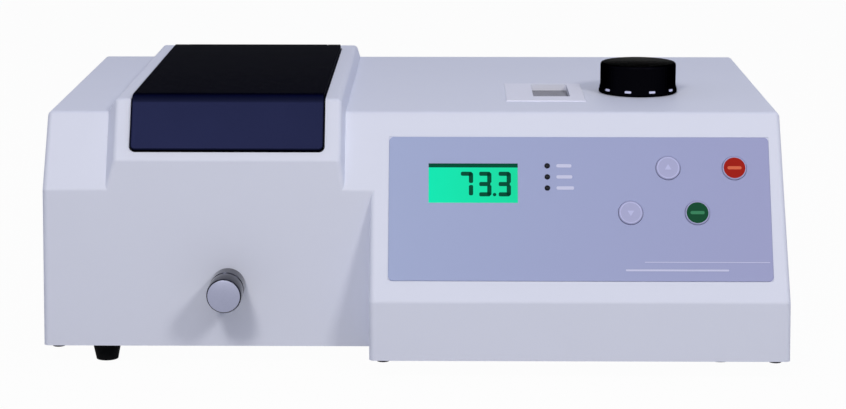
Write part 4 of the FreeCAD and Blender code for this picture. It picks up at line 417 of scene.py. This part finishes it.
def black_nickel():
    """Black nickel plate of the pull knob's barrel: dark mirror with sharp glints."""
    return metal("black_nickel_plate", "262833", roughness=0.12, stretch=(1, 12, 1),
                 depth=0.004)


def satin_face():
    """Fine-turned, clear anodised face of the pull knob: even and softly grey."""
    return metal("satin_anodised_face", "9DA0B8", roughness=0.42, depth=0.004)


def foot_rubber():
    """Black moulded rubber: matt, with a little dust in its grain."""
    return moulded("moulded_rubber", linear("08090B")[:3], roughness=0.85, depth=0.08,
                   level=0.06)


def seal_foam():
    """Black closed-cell foam strip: soft and matt."""
    return moulded("closed_cell_foam", linear("1C1C20")[:3], roughness=0.95, spacing=1.6,
                   depth=0.3, level=0.1)


def clear_glass(name, code, roughness=0.02):
    """Clear optical glass."""
    made, tree, place = new_material(name)
    cloud = grain(tree, place, 12)
    shader = add_node(tree, "ShaderNodeBsdfPrincipled",
                      {"Base Color": linear(code), "IOR": 1.46, "Transmission Weight": 1.0,
                       "Roughness": between(tree, cloud.outputs["Fac"], roughness,
                                            roughness + 0.02)})
    surface(tree, shader)
    return made


def quartz():
    return clear_glass("fused_quartz", "F4FAFC")


def smoked_glass():
    """Smoked acrylic pane over the scale: dark, with a clean surface."""
    made = clear_glass("smoked_acrylic_pane", "4A4D60", 0.04)
    for item in made.node_tree.nodes:
        if item.type == "BSDF_PRINCIPLED":
            item.inputs["Specular IOR Level"].default_value = 0.15
    return made


def front_silver():
    """Vacuum-silvered glass: a clean mirror."""
    return metal("front_silvered_glass", "E6E8EC", roughness=0.09, depth=0.0)


def ruled_grating():
    """Ruled mirror: close lines along its grooves."""
    return metal("ruled_grating", "C8CCD8", roughness=0.15, stretch=(0.02, 1, 0.02),
                 spacing=0.5)


def powder_coat(name, code):
    """Powder coat with orange peel, about 2 mm from bump to bump."""
    made, tree, place = new_material(name)
    peel = grain(tree, place, 2.0)
    shader = add_node(tree, "ShaderNodeBsdfPrincipled",
                      {"Base Color": mixed(tree, peel.outputs["Fac"],
                                           shaded(linear(code), 0.95), linear(code)),
                       "Roughness": 0.45,
                       "Normal": bumped(tree, peel.outputs["Fac"], 0.05)})
    surface(tree, shader)
    return made


def rear_paint():
    return powder_coat("grey_powder_coat", "B9BBC6")


def black_paint():
    return powder_coat("black_powder_coat", "1A1A1D")


def blackened_brass():
    """Chemically blackened brass of slit blades."""
    return metal("blackened_brass", "26262A", roughness=0.5)


def solder_resist():
    """Green solder resist over glass cloth, which shows as a faint weave."""
    made, tree, place = new_material("solder_resist_on_glass_cloth")
    weave = add_node(tree, "ShaderNodeTexWave", {"Vector": place, "Scale": 1 / (6 * MM)})
    base = mixed(tree, weave.outputs["Fac"], linear("0F5A30"), linear("14683A"))
    shader = add_node(tree, "ShaderNodeBsdfPrincipled",
                      {"Base Color": base, "Roughness": 0.35,
                       "Normal": bumped(tree, weave.outputs["Fac"], 0.01)})
    surface(tree, shader)
    return made


def white_ceramic():
    """Steatite of the lamp holder: off-white and matt."""
    return moulded("fired_steatite", linear("E8E2D4")[:3], roughness=0.7, depth=0.03)


def white_enamel():
    """White enamel of the scale disc."""
    return moulded("white_enamel", linear("F0F0F2")[:3], roughness=0.35, depth=0.004)


def laminated_core():
    """Varnished silicon-steel laminations, half a millimetre thick."""
    made, tree, place = new_material("varnished_laminations")
    sheets = add_node(tree, "ShaderNodeTexWave",
                      {"Vector": place, "Scale": 1 / (10 * MM), "Distortion": 0.3},
                      bands_direction="Y")
    base = mixed(tree, sheets.outputs["Fac"], linear("3A3A3E"), linear("5C5C60"))
    shader = add_node(tree, "ShaderNodeBsdfPrincipled",
                      {"Base Color": base, "Metallic": 0.5, "Roughness": 0.45,
                       "Normal": bumped(tree, sheets.outputs["Fac"], 0.1)})
    surface(tree, shader)
    return made


def winding_tape():
    """Yellow polyester tape round the winding, in overlapping turns."""
    made, tree, place = new_material("polyester_winding_tape")
    turns = add_node(tree, "ShaderNodeTexWave",
                     {"Vector": place, "Scale": 1 / (60 * MM), "Distortion": 0.5},
                     bands_direction="X")
    base = mixed(tree, turns.outputs["Fac"], linear("C99A2C"), linear("DDB24A"))
    shader = add_node(tree, "ShaderNodeBsdfPrincipled",
                      {"Base Color": base, "Roughness": 0.3,
                       "Normal": bumped(tree, turns.outputs["Fac"], 0.05)})
    surface(tree, shader)
    return made


def dress_nodes():
    """Give every node of the model its finish."""
    casing = casing_plastic()
    black = black_moulding()
    steel = ground_steel()
    sheet = zinc_steel()
    brass = turned_brass()
    anodised = anodised_black()
    clear = quartz()
    silver = front_silver()
    grip = grip_phenolic()
    paint = black_paint()
    board = solder_resist()
    keys = key_cap("grey_key_cap", colours().key)
    finishes = {
        casing: ("top_cover",),
        moulded("white_moulded_abs", linear("E0E3F4")[:3], roughness=0.5, spacing=1.1,
                depth=0.015, level=0.3): ("scale_window_frame",),
        black: ("sample_chamber", "tact_switches", "power_inlet", "fuse_holder",
                "switch_frame", "switch_rocker", "light_tubes"),
        steel: ("lid_hinge_pins", "carriage_rails", "pull_rod", "wavelength_shaft"),
        sheet: ("base_plate", "cam_arm", "wavelength_cam", "lamp_house",
                "detector_housing", "detector_stand", "photodiode"),
        brass: ("shaft_bearing", "cam_roller"),
        anodised: ("cuvette_carriage", "cuvette_rack", "grating_table", "heat_sink",
                   "monochromator_base"),
        clear: ("cuvettes", "condenser_lens", "lamp_bulb"),
        silver: ("concave_mirrors", "fold_mirror"),
        grip: ("wavelength_knob",),
        paint: ("monochromator_cover",),
        board: ("display_board", "circuit_boards"),
        keys: ("button_up", "button_down", "button_red", "button_green"),
        lid_acrylic(): ("sample_lid",),
        panel_film(): ("control_panel",),
        display_green(): ("lcd_module",),
        indicator_lens(): ("indicator_leds",),
        chrome(): ("rod_bush",),
        black_nickel(): ("pull_knob",),
        foot_rubber(): ("rubber_feet",),
        seal_foam(): ("lid_seal",),
        smoked_glass(): ("scale_window_pane",),
        ruled_grating(): ("grating",),
        rear_paint(): ("rear_panel",),
        blackened_brass(): ("light_slits",),
        metal("blackened_steel", "2A2A2E", roughness=0.45): ("case_screws",),
        white_ceramic(): ("lamp_holder",),
        white_enamel(): ("wavelength_dial",),
        plain_aluminium(): ("support_pillars",),
        laminated_core(): ("transformer_core",),
        winding_tape(): ("transformer_coil",),
    }
    left = set(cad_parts)
    for finish, names in finishes.items():
        for name in names:
            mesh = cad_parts[name].data
            mesh.materials.clear()
            mesh.materials.append(finish)
            left.discard(name)
    if left:
        raise RuntimeError("no finish for " + ", ".join(sorted(left)))


def add_piece(name, shape, body, material, smooth=None):
    """Turn a bmesh into a piece that rides on a body."""
    bmesh.ops.recalc_face_normals(shape, faces=shape.faces)
    mesh = bpy.data.meshes.new(name)
    shape.to_mesh(mesh)
    shape.free()
    piece = bpy.data.objects.new(name, mesh)
    bpy.context.scene.collection.objects.link(piece)
    mesh.materials.append(material)
    if smooth is not None:
        mesh.shade_smooth()
        mesh.set_sharp_from_angle(angle=math.radians(smooth))
    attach(piece, body)
    return piece


def raise_face(shape, faces, height):
    """Give flat faces a thickness."""
    grown = bmesh.ops.extrude_face_region(shape, geom=faces)
    moved = [item for item in grown["geom"] if isinstance(item, bmesh.types.BMVert)]
    bmesh.ops.translate(shape, verts=moved, vec=(0, 0, height))
    return moved


def add_bar(shape, centre, breadth, reach, thickness, *, at, corner=0.0):
    """A flat plate with rounded corners, added to a shape."""
    before = set(shape.verts)
    made = bmesh.ops.create_grid(shape, x_segments=1, y_segments=1, size=0.5)
    bmesh.ops.scale(shape, verts=made["verts"], vec=(breadth, reach, 1))
    if corner:
        bmesh.ops.bevel(shape, geom=made["verts"], offset=corner, offset_type="OFFSET",
                        segments=4, profile=0.5, affect="VERTICES", material=-1)
    fresh = {vert for vert in shape.verts if vert not in before}
    faces = list({face for vert in fresh for face in vert.link_faces})
    raise_face(shape, faces, thickness)
    whole = [vert for vert in shape.verts if vert not in before]
    bmesh.ops.transform(shape, matrix=at @ Matrix.Translation(centre), verts=whole)
    return whole


def add_ring(shape, centre, inner, outer, thickness, *, at):
    """A flat ring, added to a shape."""
    made = bmesh.ops.create_circle(shape, cap_ends=False, radius=inner, segments=LARGE_ROUND)
    inside = made["verts"]
    edges = list({edge for vert in inside for edge in vert.link_edges})
    grown = bmesh.ops.extrude_edge_only(shape, edges=edges)
    outside = [item for item in grown["geom"] if isinstance(item, bmesh.types.BMVert)]
    bmesh.ops.scale(shape, verts=outside, vec=(outer / inner, outer / inner, 1))
    faces = [item for item in grown["geom"] if isinstance(item, bmesh.types.BMFace)]
    tops = raise_face(shape, faces, thickness)
    whole = set(inside) | set(outside) | set(tops)
    bmesh.ops.transform(shape, matrix=at @ Matrix.Translation(centre), verts=list(whole))
    return whole


def add_disc(shape, centre, radius, thickness, *, at, steps=SMALL_ROUND):
    """A flat disc, added to a shape."""
    made = bmesh.ops.create_circle(shape, cap_ends=True, radius=radius, segments=steps)
    faces = list({face for vert in made["verts"] for face in vert.link_faces})
    tops = raise_face(shape, faces, thickness)
    whole = set(made["verts"]) | set(tops)
    bmesh.ops.transform(shape, matrix=at @ Matrix.Translation(centre), verts=list(whole))
    return whole


def turned_shape(profile, steps=96):
    """A shape turned round Z from its half profile, given as radius and height."""
    shape = bmesh.new()
    verts = [shape.verts.new((radius, 0, height)) for radius, height in profile]
    edges = [shape.edges.new(pair) for pair in zip(verts, verts[1:])]
    bmesh.ops.spin(shape, geom=verts + edges, cent=(0, 0, 0), axis=(0, 0, 1),
                   angle=math.tau, steps=steps, use_merge=True)
    bmesh.ops.remove_doubles(shape, verts=shape.verts, dist=0.001 * MM)
    return shape


def slope_spot(x, along, out=0.0):
    """A place on the slope: millimetres across and up, and metres out from its face."""
    return Vector((x * MM, along * MM, out))


class SPECTRO_OT_finishes(bpy.types.Operator):
    """Give every part of the model its material"""

    bl_idname = "spectro.finishes"
    bl_label = "Finish the model's parts"

    def execute(self, context):
        dress_nodes()
        return {"FINISHED"}


class SPECTRO_OT_display(bpy.types.Operator):
    """Build the display's digits and point, and a dark bar that paints the shadow at its top"""

    bl_idname = "spectro.display"
    bl_label = "Build the display's face"

    # Places across and up the slope and sizes, all in millimetres. The digits have
    # their left edges, their foot and their width, and the point its rise over the foot.
    lefts = (29.6, 41.1, 53.3)
    foot = 68.6
    width = 8.4
    point_across = 51.4
    point_rise = 1.2
    point_radius = 1.1
    # Place and size of the dark bar along the top of the display, which paints the shadow of its
    # recess.
    shadow_bar_place = (38, 88.9)
    shadow_bar_size = (56, 2.6)

    # Share of the stroke that rounds a segment's corners.
    corner_share = 0.35

    def segment_bars(self, shape, sign, left):
        tall = sizes().digit_height
        stroke = sizes().digit_stroke
        wide = self.width * MM
        half = tall / 2
        foot = self.foot * MM
        x = left * MM
        level = (wide - stroke * 0.5, stroke)
        upright = (stroke, half - stroke * 0.5)
        spots = (((x + wide / 2, foot + tall - stroke / 2), level),
                 ((x + stroke / 2, foot + half * 1.5), upright),
                 ((x + wide - stroke / 2, foot + half * 1.5), upright),
                 ((x + wide / 2, foot + half), level),
                 ((x + stroke / 2, foot + half * 0.5), upright),
                 ((x + wide - stroke / 2, foot + half * 0.5), upright),
                 ((x + wide / 2, foot + stroke / 2), level))
        for lit, (spot, size) in zip(SEGMENTS[sign], spots):
            if lit:
                add_bar(shape, (spot[0], spot[1], self.face), size[0], size[1],
                        sizes().print_depth, corner=stroke * self.corner_share, at=ON_SLOPE)

    def execute(self, context):
        self.face = face_spot("lcd_module").z
        shape = bmesh.new()
        signs = [sign for sign in sizes().reading if sign in SEGMENTS]
        for sign, left in zip(signs, self.lefts):
            self.segment_bars(shape, sign, left)
        add_disc(shape, slope_spot(self.point_across, self.foot + self.point_rise, self.face),
                 self.point_radius * MM, sizes().print_depth, at=ON_SLOPE)
        ink = digit_ink()
        add_piece("display_digits", shape, "chassis", ink)
        # The digits' ink, laid as a bar along the top, paints the shadow under the recess's
        # upper wall.
        shape = bmesh.new()
        add_bar(shape, slope_spot(*self.shadow_bar_place, self.face), self.shadow_bar_size[0] * MM,
                self.shadow_bar_size[1] * MM, sizes().print_depth * 1.5, at=ON_SLOPE)
        add_piece("display_painted_shadow", shape, "chassis", ink)
        return {"FINISHED"}


class SPECTRO_OT_panel(bpy.types.Operator):
    """Print the panel: pale lines and the plain bars beside the lights"""

    bl_idname = "spectro.panel"
    bl_label = "Print the control panel"

    # Middle across and up the slope, and length, of the two pale lines, in millimetres,
    # with their breadth and corner as shares of the line width.
    thin_line = (183.2, 26, 77.5, 0.6, 0.0)
    broad_line = (164.5, 20.8, 63.8, 1.6, 0.5)

    # Bars beside the lights, in millimetres.
    bars_left = 90.2
    bar_lengths = (9.5, 10.0, 11.0)
    bar_breadth = 2.2
    bar_corner = 0.9

    def execute(self, context):
        deep = sizes().print_depth
        shape = bmesh.new()
        line = sizes().line_width
        for across, along, long, share, corner in (self.thin_line, self.broad_line):
            add_bar(shape, slope_spot(across, along, PANEL_FACE), long * MM, line * share,
                    deep, corner=line * corner, at=ON_SLOPE)
        for along, reach in zip(INDICATORS, self.bar_lengths):
            add_bar(shape, slope_spot(self.bars_left + reach / 2, along, PANEL_FACE),
                    reach * MM, self.bar_breadth * MM, deep, corner=self.bar_corner * MM,
                    at=ON_SLOPE)
        add_piece("panel_printing", shape, "chassis", printing())
        return {"FINISHED"}


class SPECTRO_OT_keys(bpy.types.Operator):
    """Put coloured faces, painted highlight bars and rings, and plain arrows on the four keys"""

    bl_idname = "spectro.keys"
    bl_label = "Mark the keys"

    bodies = {"button_up": "key_up", "button_down": "key_down", "button_red": "key_red",
              "button_green": "key_green"}
    slots = {"button_up": "key_grey", "button_down": "key_grey", "button_red": "key_red",
             "button_green": "key_green"}

    # Length, breadth and corner of the lighter bar that paints a highlight across a coloured
    # key, as shares of its disc.
    glint_bar_shares = (1.3, 0.3, 0.14)
    arrow_radius = 2.4

    def execute(self, context):
        deep = sizes().print_depth
        radius = sizes().key_disc
        # Pale ink of the arrows, which also paints the highlight rings on the grey keys.
        pale = moulded("pale_key_ink_and_painted_highlight", linear("BFC2E8")[:3], roughness=0.6, depth=0.004,
                       level=0.1)
        # Each coloured key's face colour, and the lighter tint that paints a highlight bar
        # across it.
        faces = {"button_red": (colours().red_key, "D9694B"),
                 "button_green": (colours().green_key, "3B8660")}
        for name, body in self.bodies.items():
            spot = face_spot(name)
            shape = bmesh.new()
            if name in faces:
                colour, glint = faces[name]
                add_disc(shape, spot, radius, deep, at=ON_SLOPE, steps=LARGE_ROUND)
                add_piece(name + "_face", shape, body,
                          key_enamel_and_glint(self.slots[name] + "_enamel", colour))
                # A bar of a lighter tint across the coloured face paints the key's highlight.
                shape = bmesh.new()
                long, broad, corner = (radius * share for share in self.glint_bar_shares)
                add_bar(shape, spot + Vector((0, 0, deep)), long, broad, deep, corner=corner,
                        at=ON_SLOPE)
                ink = key_enamel_and_glint(self.slots[name] + "_bar", linear(glint)[:3])
                add_piece(name + "_mark", shape, body, ink)
                continue
            # A pale ring round the grey key's edge paints the highlight on its rim; the arrow
            # inside is print.
            add_ring(shape, spot, radius - sizes().key_highlight_ring, radius, deep, at=ON_SLOPE)
            self.arrow(shape, spot, 1 if name == "button_up" else -1)
            add_piece(name + "_mark", shape, body, pale)
        return {"FINISHED"}

    def arrow(self, shape, spot, way):
        """A plain arrowhead that points up or down."""
        made = bmesh.ops.create_circle(shape, cap_ends=True, radius=self.arrow_radius * MM,
                                       segments=3)
        faces = list({item for vert in made["verts"] for item in vert.link_faces})
        tops = raise_face(shape, faces, sizes().print_depth)
        turn = Matrix.Rotation(0 if way > 0 else math.pi, 4, "Z")
        bmesh.ops.transform(shape, matrix=ON_SLOPE @ Matrix.Translation(spot) @ turn,
                            verts=list(set(made["verts"]) | set(tops)))


class SPECTRO_OT_knob(bpy.types.Operator):
    """Build the wavelength knob: fluted grip, bevelled skirt and dashes that paint its glints"""

    bl_idname = "spectro.knob"
    bl_label = "Build the wavelength knob"

    # Grip and skirt, in millimetres: how far the skirt stands out, where its bevel
    # starts and ends, the round of its foot, and the points of the rounded rim as
    # distances in from the grip and down from the top.
    skirt_out = 0.9
    bevel_top = 5.2
    bevel_foot = 1.8
    foot_round = 0.4
    rim = ((1.7, 0), (0.8, 0.2), (0.2, 0.8), (0, 1.7))

    # Flutes: their ends over the foot and under the top, and steps for each.
    flute_foot = 4.8
    flute_top = 1.0
    flute_steps = 4

    # Pale dashes on the skirt, which paint the glints of its bevel: their count, the turn of the
    # first in degrees, their middle's height, and their length, breadth, thickness and corner.
    dashes = 10
    first_dash = -73
    dash_rise = 2.9
    dash_size = (1.5, 4.4, 0.05, 0.6)

    def execute(self, context):
        low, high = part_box("wavelength_knob")
        centre = (low + high) / 2
        foot = low.z
        top = high.z
        skirt = (high.x - low.x) / 2
        grip = skirt - self.skirt_out * MM
        tall = top - foot
        outline = [(0, tall)]
        outline += [(grip - back * MM, tall - down * MM) for back, down in self.rim]
        outline += [(grip, self.bevel_top * MM), (skirt, self.bevel_foot * MM),
                    (skirt, self.foot_round * MM), (skirt - self.foot_round * MM, 0), (0, 0)]
        count = sizes().flutes
        shape = turned_shape(outline, steps=count * self.flute_steps)
        for vert in shape.verts:
            near = Vector((vert.co.x, vert.co.y)).length
            if (near > grip - 0.1 * MM
                    and self.flute_foot * MM < vert.co.z < tall - self.flute_top * MM):
                angle = math.atan2(vert.co.y, vert.co.x)
                dip = sizes().flute_depth * (1 - math.cos(angle * count)) / 2
                vert.co.x *= (near - dip) / near
                vert.co.y *= (near - dip) / near
        spot = Matrix.Translation((centre.x, centre.y, foot))
        bmesh.ops.transform(shape, matrix=spot, verts=shape.verts)
        knob = add_piece("knob_grip", shape, "wavelength_drive", grip_phenolic(),
                         smooth=35)
        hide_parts("wavelength_knob")
        self.marks(centre, foot, grip, skirt)
        return {"FINISHED"}

    def marks(self, centre, foot, grip, skirt):
        """Pale dashes round the bevel of the skirt: painted glints."""
        shape = bmesh.new()
        bevel = (self.bevel_top - self.bevel_foot) * MM
        lean = Matrix.Rotation(math.atan2(bevel, skirt - grip), 4, "Y")
        out = skirt - (skirt - grip) * 0.3
        long, broad, thick, corner = (size * MM for size in self.dash_size)
        for number in range(self.dashes):
            angle = math.radians(self.first_dash) + math.tau * number / self.dashes
            at = (Matrix.Translation((centre.x, centre.y, foot + self.dash_rise * MM))
                  @ Matrix.Rotation(angle, 4, "Z") @ Matrix.Translation((out, 0, 0)) @ lean)
            add_bar(shape, (0, 0, 0), long, broad, thick, corner=corner, at=at)
        add_piece("knob_painted_glints", shape, "wavelength_drive", printing())


class SPECTRO_OT_pull(bpy.types.Operator):
    """Turn the pull knob: grooved dark barrel and satin face"""

    bl_idname = "spectro.pull"
    bl_label = "Build the pull knob"

    # In millimetres: bevel of the foot; the groove's middle behind the face, its half
    # width and depth; the rounded front as distances in from the side and back from the
    # face; and the face plate's foot, its bevelled front and its thickness.
    foot_bevel = 0.6
    groove_back = 17
    groove_half = 1.6
    groove_depth = 1.1
    front = ((0, 1.2), (0.12, 0.7), (0.4, 0.3), (0.9, 0), (1.2, 0))
    plate_foot = 0.8
    plate_front = 1.0
    plate_thick = 0.1

    # Steps of the groove's round.
    groove_steps = 8

    def execute(self, context):
        low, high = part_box("pull_knob")
        centre = (low + high) / 2
        radius = (high.x - low.x) / 2
        long = high.y - low.y
        outline = [(0, 0), (radius - self.foot_bevel * MM, 0), (radius, self.foot_bevel * MM)]
        for step in range(self.groove_steps + 1):
            turn = math.pi * step / self.groove_steps
            outline.append((radius - self.groove_depth * MM * math.sin(turn),
                            long - self.groove_back * MM
                            - self.groove_half * MM * math.cos(turn)))
        outline += [(radius - side * MM, long - back * MM) for side, back in self.front]
        outline.append((0, long))
        at = (Matrix.Translation((centre.x, high.y, centre.z))
              @ Matrix.Rotation(math.pi / 2, 4, "X"))
        shape = turned_shape(outline)
        bmesh.ops.transform(shape, matrix=at, verts=shape.verts)
        barrel = add_piece("pull_knob_barrel", shape, "carriage", black_nickel(),
                           smooth=40)
        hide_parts("pull_knob")
        front = long + self.plate_thick * MM
        shape = turned_shape([(0, long), (radius - self.plate_foot * MM, long),
                              (radius - self.plate_front * MM, front), (0, front)])
        bmesh.ops.transform(shape, matrix=at, verts=shape.verts)
        add_piece("pull_knob_face", shape, "carriage", satin_face(),
                  smooth=40)
        return {"FINISHED"}


class SPECTRO_OT_lights(bpy.types.Operator):
    """Round the lenses of the three indicator lights"""

    bl_idname = "spectro.lights"
    bl_label = "Round the indicator lenses"

    # Half profile of a lens, as radius and height in millimetres.
    dome = ((1.72, -0.1), (1.72, 0), (1.55, 0.35), (1.15, 0.66), (0.6, 0.84), (0, 0.9))

    def execute(self, context):
        spot = face_spot("indicator_leds")
        lens = indicator_lens()
        for number, along in enumerate(INDICATORS, start=1):
            shape = turned_shape([(radius * MM, rise * MM) for radius, rise in self.dome],
                                 steps=SMALL_ROUND)
            place = Vector((spot.x, along * MM, spot.z))
            bmesh.ops.transform(shape, matrix=ON_SLOPE @ Matrix.Translation(place),
                                verts=shape.verts)
            add_piece("indicator_lens_%d" % number, shape, "chassis", lens,
                      smooth=60)
        return {"FINISHED"}


class SPECTRO_OT_scale(bpy.types.Operator):
    """Mark the scale disc under its window with graduations and plain numbers"""

    bl_idname = "spectro.scale"
    bl_label = "Mark the scale disc"

    # The scale runs clockwise over the drive's turn, in degrees, from the first number.
    start = 180
    sweep = 300
    steps = 120
    first_number = 300
    number_step = 5

    # In millimetres: the marks' distance in from the rim, lengths, breadth and thickness,
    # and the numbers' height, distance in from the rim and thickness.
    mark_in = 1.5
    long_mark = 4.5
    short_mark = 2.6
    mark_size = (0.35, 0.03)
    number_height = 6
    number_in = 11
    number_thick = 0.02

    def execute(self, context):
        low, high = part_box("wavelength_dial")
        centre = (low + high) / 2
        self.middle = Matrix.Translation((centre.x, centre.y, high.z))
        self.rim = (high.x - low.x) / 2
        ink = dark_printing()
        shape = bmesh.new()
        broad, thick = (size * MM for size in self.mark_size)
        for number in range(self.steps + 1):
            reach = (self.short_mark if number % 5 else self.long_mark) * MM
            at = self.place(number, self.mark_in * MM + reach / 2)
            add_bar(shape, (0, 0, 0), reach, broad, thick, at=at)
        add_piece("scale_marks", shape, "wavelength_drive", ink)
        for number in range(0, self.steps + 1, 10):
            self.number(number, ink)
        return {"FINISHED"}

    def place(self, number, inwards):
        """A place on the disc for a step of the scale, a distance in from the rim."""
        angle = math.radians(self.start - self.sweep * number / self.steps)
        return (self.middle @ Matrix.Rotation(angle, 4, "Z")
                @ Matrix.Translation((self.rim - inwards, 0, 0)))

    def number(self, number, ink):
        """One printed number, made a mesh before it is placed."""
        label = str(self.first_number + number * self.number_step)
        text = bpy.data.curves.new("scale_number", "FONT")
        text.body = label
        text.size = self.number_height * MM
        text.align_x = "CENTER"
        text.align_y = "CENTER"
        text.extrude = self.number_thick * MM
        maker = bpy.data.objects.new("scale_number_maker", text)
        bpy.context.scene.collection.objects.link(maker)
        mesh = bpy.data.meshes.new_from_object(maker)
        bpy.data.objects.remove(maker)
        mesh.transform(Matrix.Translation((0, 0, self.number_thick * MM))
                       @ self.place(number, self.number_in * MM)
                       @ Matrix.Rotation(math.pi / 2, 4, "Z"))
        mesh.materials.clear()
        mesh.materials.append(ink)
        piece = bpy.data.objects.new("scale_number_" + label, mesh)
        bpy.context.scene.collection.objects.link(piece)
        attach(piece, "wavelength_drive")


class SPECTRO_OT_stage(bpy.types.Operator):
    """Lay the floor, hang the lamps and set the camera"""

    bl_idname = "spectro.stage"
    bl_label = "Set the studio"

    # Camera fitted to the photograph, which is taken to be 846 by 409.
    camera_place = (21.73, -1546.22, 397.9)
    camera_pitch = 11.645
    camera_yaw = -0.612
    focal_pixels = 2311.4
    image_width = 846
    sensor_width = 36

    # Each lamp's place, width and height in millimetres, its power in watts and its tint.
    # Two small softboxes draw the two shadows under the pull knob.
    lamps = {
        "broad_key": ((-150, -1880, 1680), 1900, 1100, 9, "FFFBF2"),
        "left_softbox": ((-530, -1979, 1692), 420, 420, 19, "FFFAF0"),
        "right_softbox": ((1235, -1765, 1543), 420, 420, 19, "FFFBF2"),
        "left_fill": ((-2100, -500, 900), 1400, 1200, 4, "F0F2FF"),
        "right_fill": ((2100, -500, 1100), 1400, 1200, 3, "E4EAFF"),
        "top_strip": ((300, 420, 1900), 1500, 160, 3, "D8E0FF"),
    }
    lamps_aim = (0, 0, 90)

    # Half the floor's side in metres, the share of it that glows white where it is seen,
    # and the world's strength as a light.
    floor_half = 14
    floor_glow = 0.97
    world_light = 0.19

    def execute(self, context):
        self.floor()
        self.world()
        for name, (place, wide, tall, power, tint) in self.lamps.items():
            self.lamp(name, place, wide, tall, power, tint)
        self.camera()
        settings = context.scene.view_settings
        settings.view_transform = "Standard"
        return {"FINISHED"}

    def floor(self):
        shape = bmesh.new()
        bmesh.ops.create_grid(shape, x_segments=2, y_segments=2, size=self.floor_half)
        mesh = bpy.data.meshes.new("studio_floor")
        shape.to_mesh(mesh)
        shape.free()
        floor = bpy.data.objects.new("studio_floor", mesh)
        bpy.context.scene.collection.objects.link(floor)
        mesh.materials.append(self.floor_paper())

    def seen(self, tree):
        """One where the camera, a mirror or glass looks, and nought for the light's own way."""
        path = add_node(tree, "ShaderNodeLightPath")
        both = add_node(tree, "ShaderNodeMath",
                        {0: path.outputs["Is Camera Ray"], 1: path.outputs["Is Glossy Ray"]},
                        operation="MAXIMUM")
        return add_node(tree, "ShaderNodeMath",
                        {0: both.outputs[0], 1: path.outputs["Is Transmission Ray"]},
                        operation="MAXIMUM").outputs[0]

    def floor_paper(self):
        """White studio paper that shows a soft shadow."""
        made, tree, place = new_material("white_studio_paper")
        paper = add_node(tree, "ShaderNodeBsdfDiffuse", {"Color": linear("BEBEBE")})
        glow = add_node(tree, "ShaderNodeEmission", {"Color": linear("FFFFFF"), "Strength": 1.0})
        part = add_node(tree, "ShaderNodeMath", {0: self.seen(tree), 1: self.floor_glow},
                        operation="MULTIPLY")
        surface(tree, add_node(tree, "ShaderNodeMixShader",
                               {0: part.outputs[0], 1: paper.outputs[0], 2: glow.outputs[0]}))
        return made

    def world(self):
        world = bpy.data.worlds.new("studio_world")
        world.use_nodes = True
        tree = world.node_tree
        tree.nodes.clear()
        seen = self.seen(tree)
        strength = between(tree, seen, self.world_light, 1.0)
        glow = add_node(tree, "ShaderNodeBackground",
                        {"Color": mixed(tree, seen, linear("CCD4FF"), linear("FFFFFF")),
                         "Strength": strength})
        add_node(tree, "ShaderNodeOutputWorld", {"Surface": glow.outputs[0]})
        bpy.context.scene.world = world

    def lamp(self, name, place, wide, tall, power, tint):
        """An area lamp, aimed at the middle of the object."""
        light = bpy.data.lights.new(name, "AREA")
        light.color = linear(tint)[:3]
        light.shape = "RECTANGLE"
        light.size = wide * MM
        light.size_y = tall * MM
        light.energy = power
        lamp = bpy.data.objects.new(name, light)
        spot = Vector(place) * MM
        middle = Vector(self.lamps_aim) * MM
        lamp.matrix_world = (Matrix.Translation(spot)
                             @ (middle - spot).to_track_quat("-Z", "Y")
                             .to_matrix().to_4x4())
        bpy.context.scene.collection.objects.link(lamp)

    def camera(self):
        lens = bpy.data.cameras.new("photo_camera")
        lens.sensor_width = self.sensor_width
        lens.lens = self.focal_pixels * lens.sensor_width / self.image_width
        lens.clip_end = 100
        camera = bpy.data.objects.new("photo_camera", lens)
        pitch = math.radians(self.camera_pitch)
        yaw = math.radians(self.camera_yaw)
        look = Vector((math.sin(yaw) * math.cos(pitch), math.cos(yaw) * math.cos(pitch),
                       -math.sin(pitch)))
        camera.matrix_world = (Matrix.Translation(Vector(self.camera_place) * MM)
                               @ look.to_track_quat("-Z", "Y").to_matrix().to_4x4())
        bpy.context.scene.collection.objects.link(camera)
        bpy.context.scene.camera = camera


class SPECTRO_PT_panel(bpy.types.Panel):
    """Sidebar panel with the sizes, the colours and the steps"""

    bl_idname = "SPECTRO_PT_panel"
    bl_label = "Spectrophotometer"
    bl_space_type = "VIEW_3D"
    bl_region_type = "UI"
    bl_category = "Spectrophotometer"

    def draw(self, context):
        for group in (context.scene.spectro_sizes, context.scene.spectro_colours):
            box = self.layout.box()
            for name in group.__annotations__:
                box.prop(group, name)
        for step in STEPS:
            self.layout.operator(step.bl_idname)


STEPS = (SPECTRO_OT_finishes, SPECTRO_OT_display, SPECTRO_OT_panel, SPECTRO_OT_keys,
         SPECTRO_OT_knob, SPECTRO_OT_pull, SPECTRO_OT_lights, SPECTRO_OT_scale,
         SPECTRO_OT_stage)
CLASSES = (SpectroColours, SpectroSizes) + STEPS + (SPECTRO_PT_panel,)


def register():
    for item in CLASSES:
        bpy.utils.register_class(item)
    bpy.types.Scene.spectro_colours = PointerProperty(type=SpectroColours)
    bpy.types.Scene.spectro_sizes = PointerProperty(type=SpectroSizes)


def unregister():
    del bpy.types.Scene.spectro_sizes
    del bpy.types.Scene.spectro_colours
    for item in reversed(CLASSES):
        bpy.utils.unregister_class(item)


def main():
    register()
    for step in STEPS:
        group, name = step.bl_idname.split(".")
        getattr(getattr(bpy.ops, group), name)()


if __name__ == "__main__":
    main()
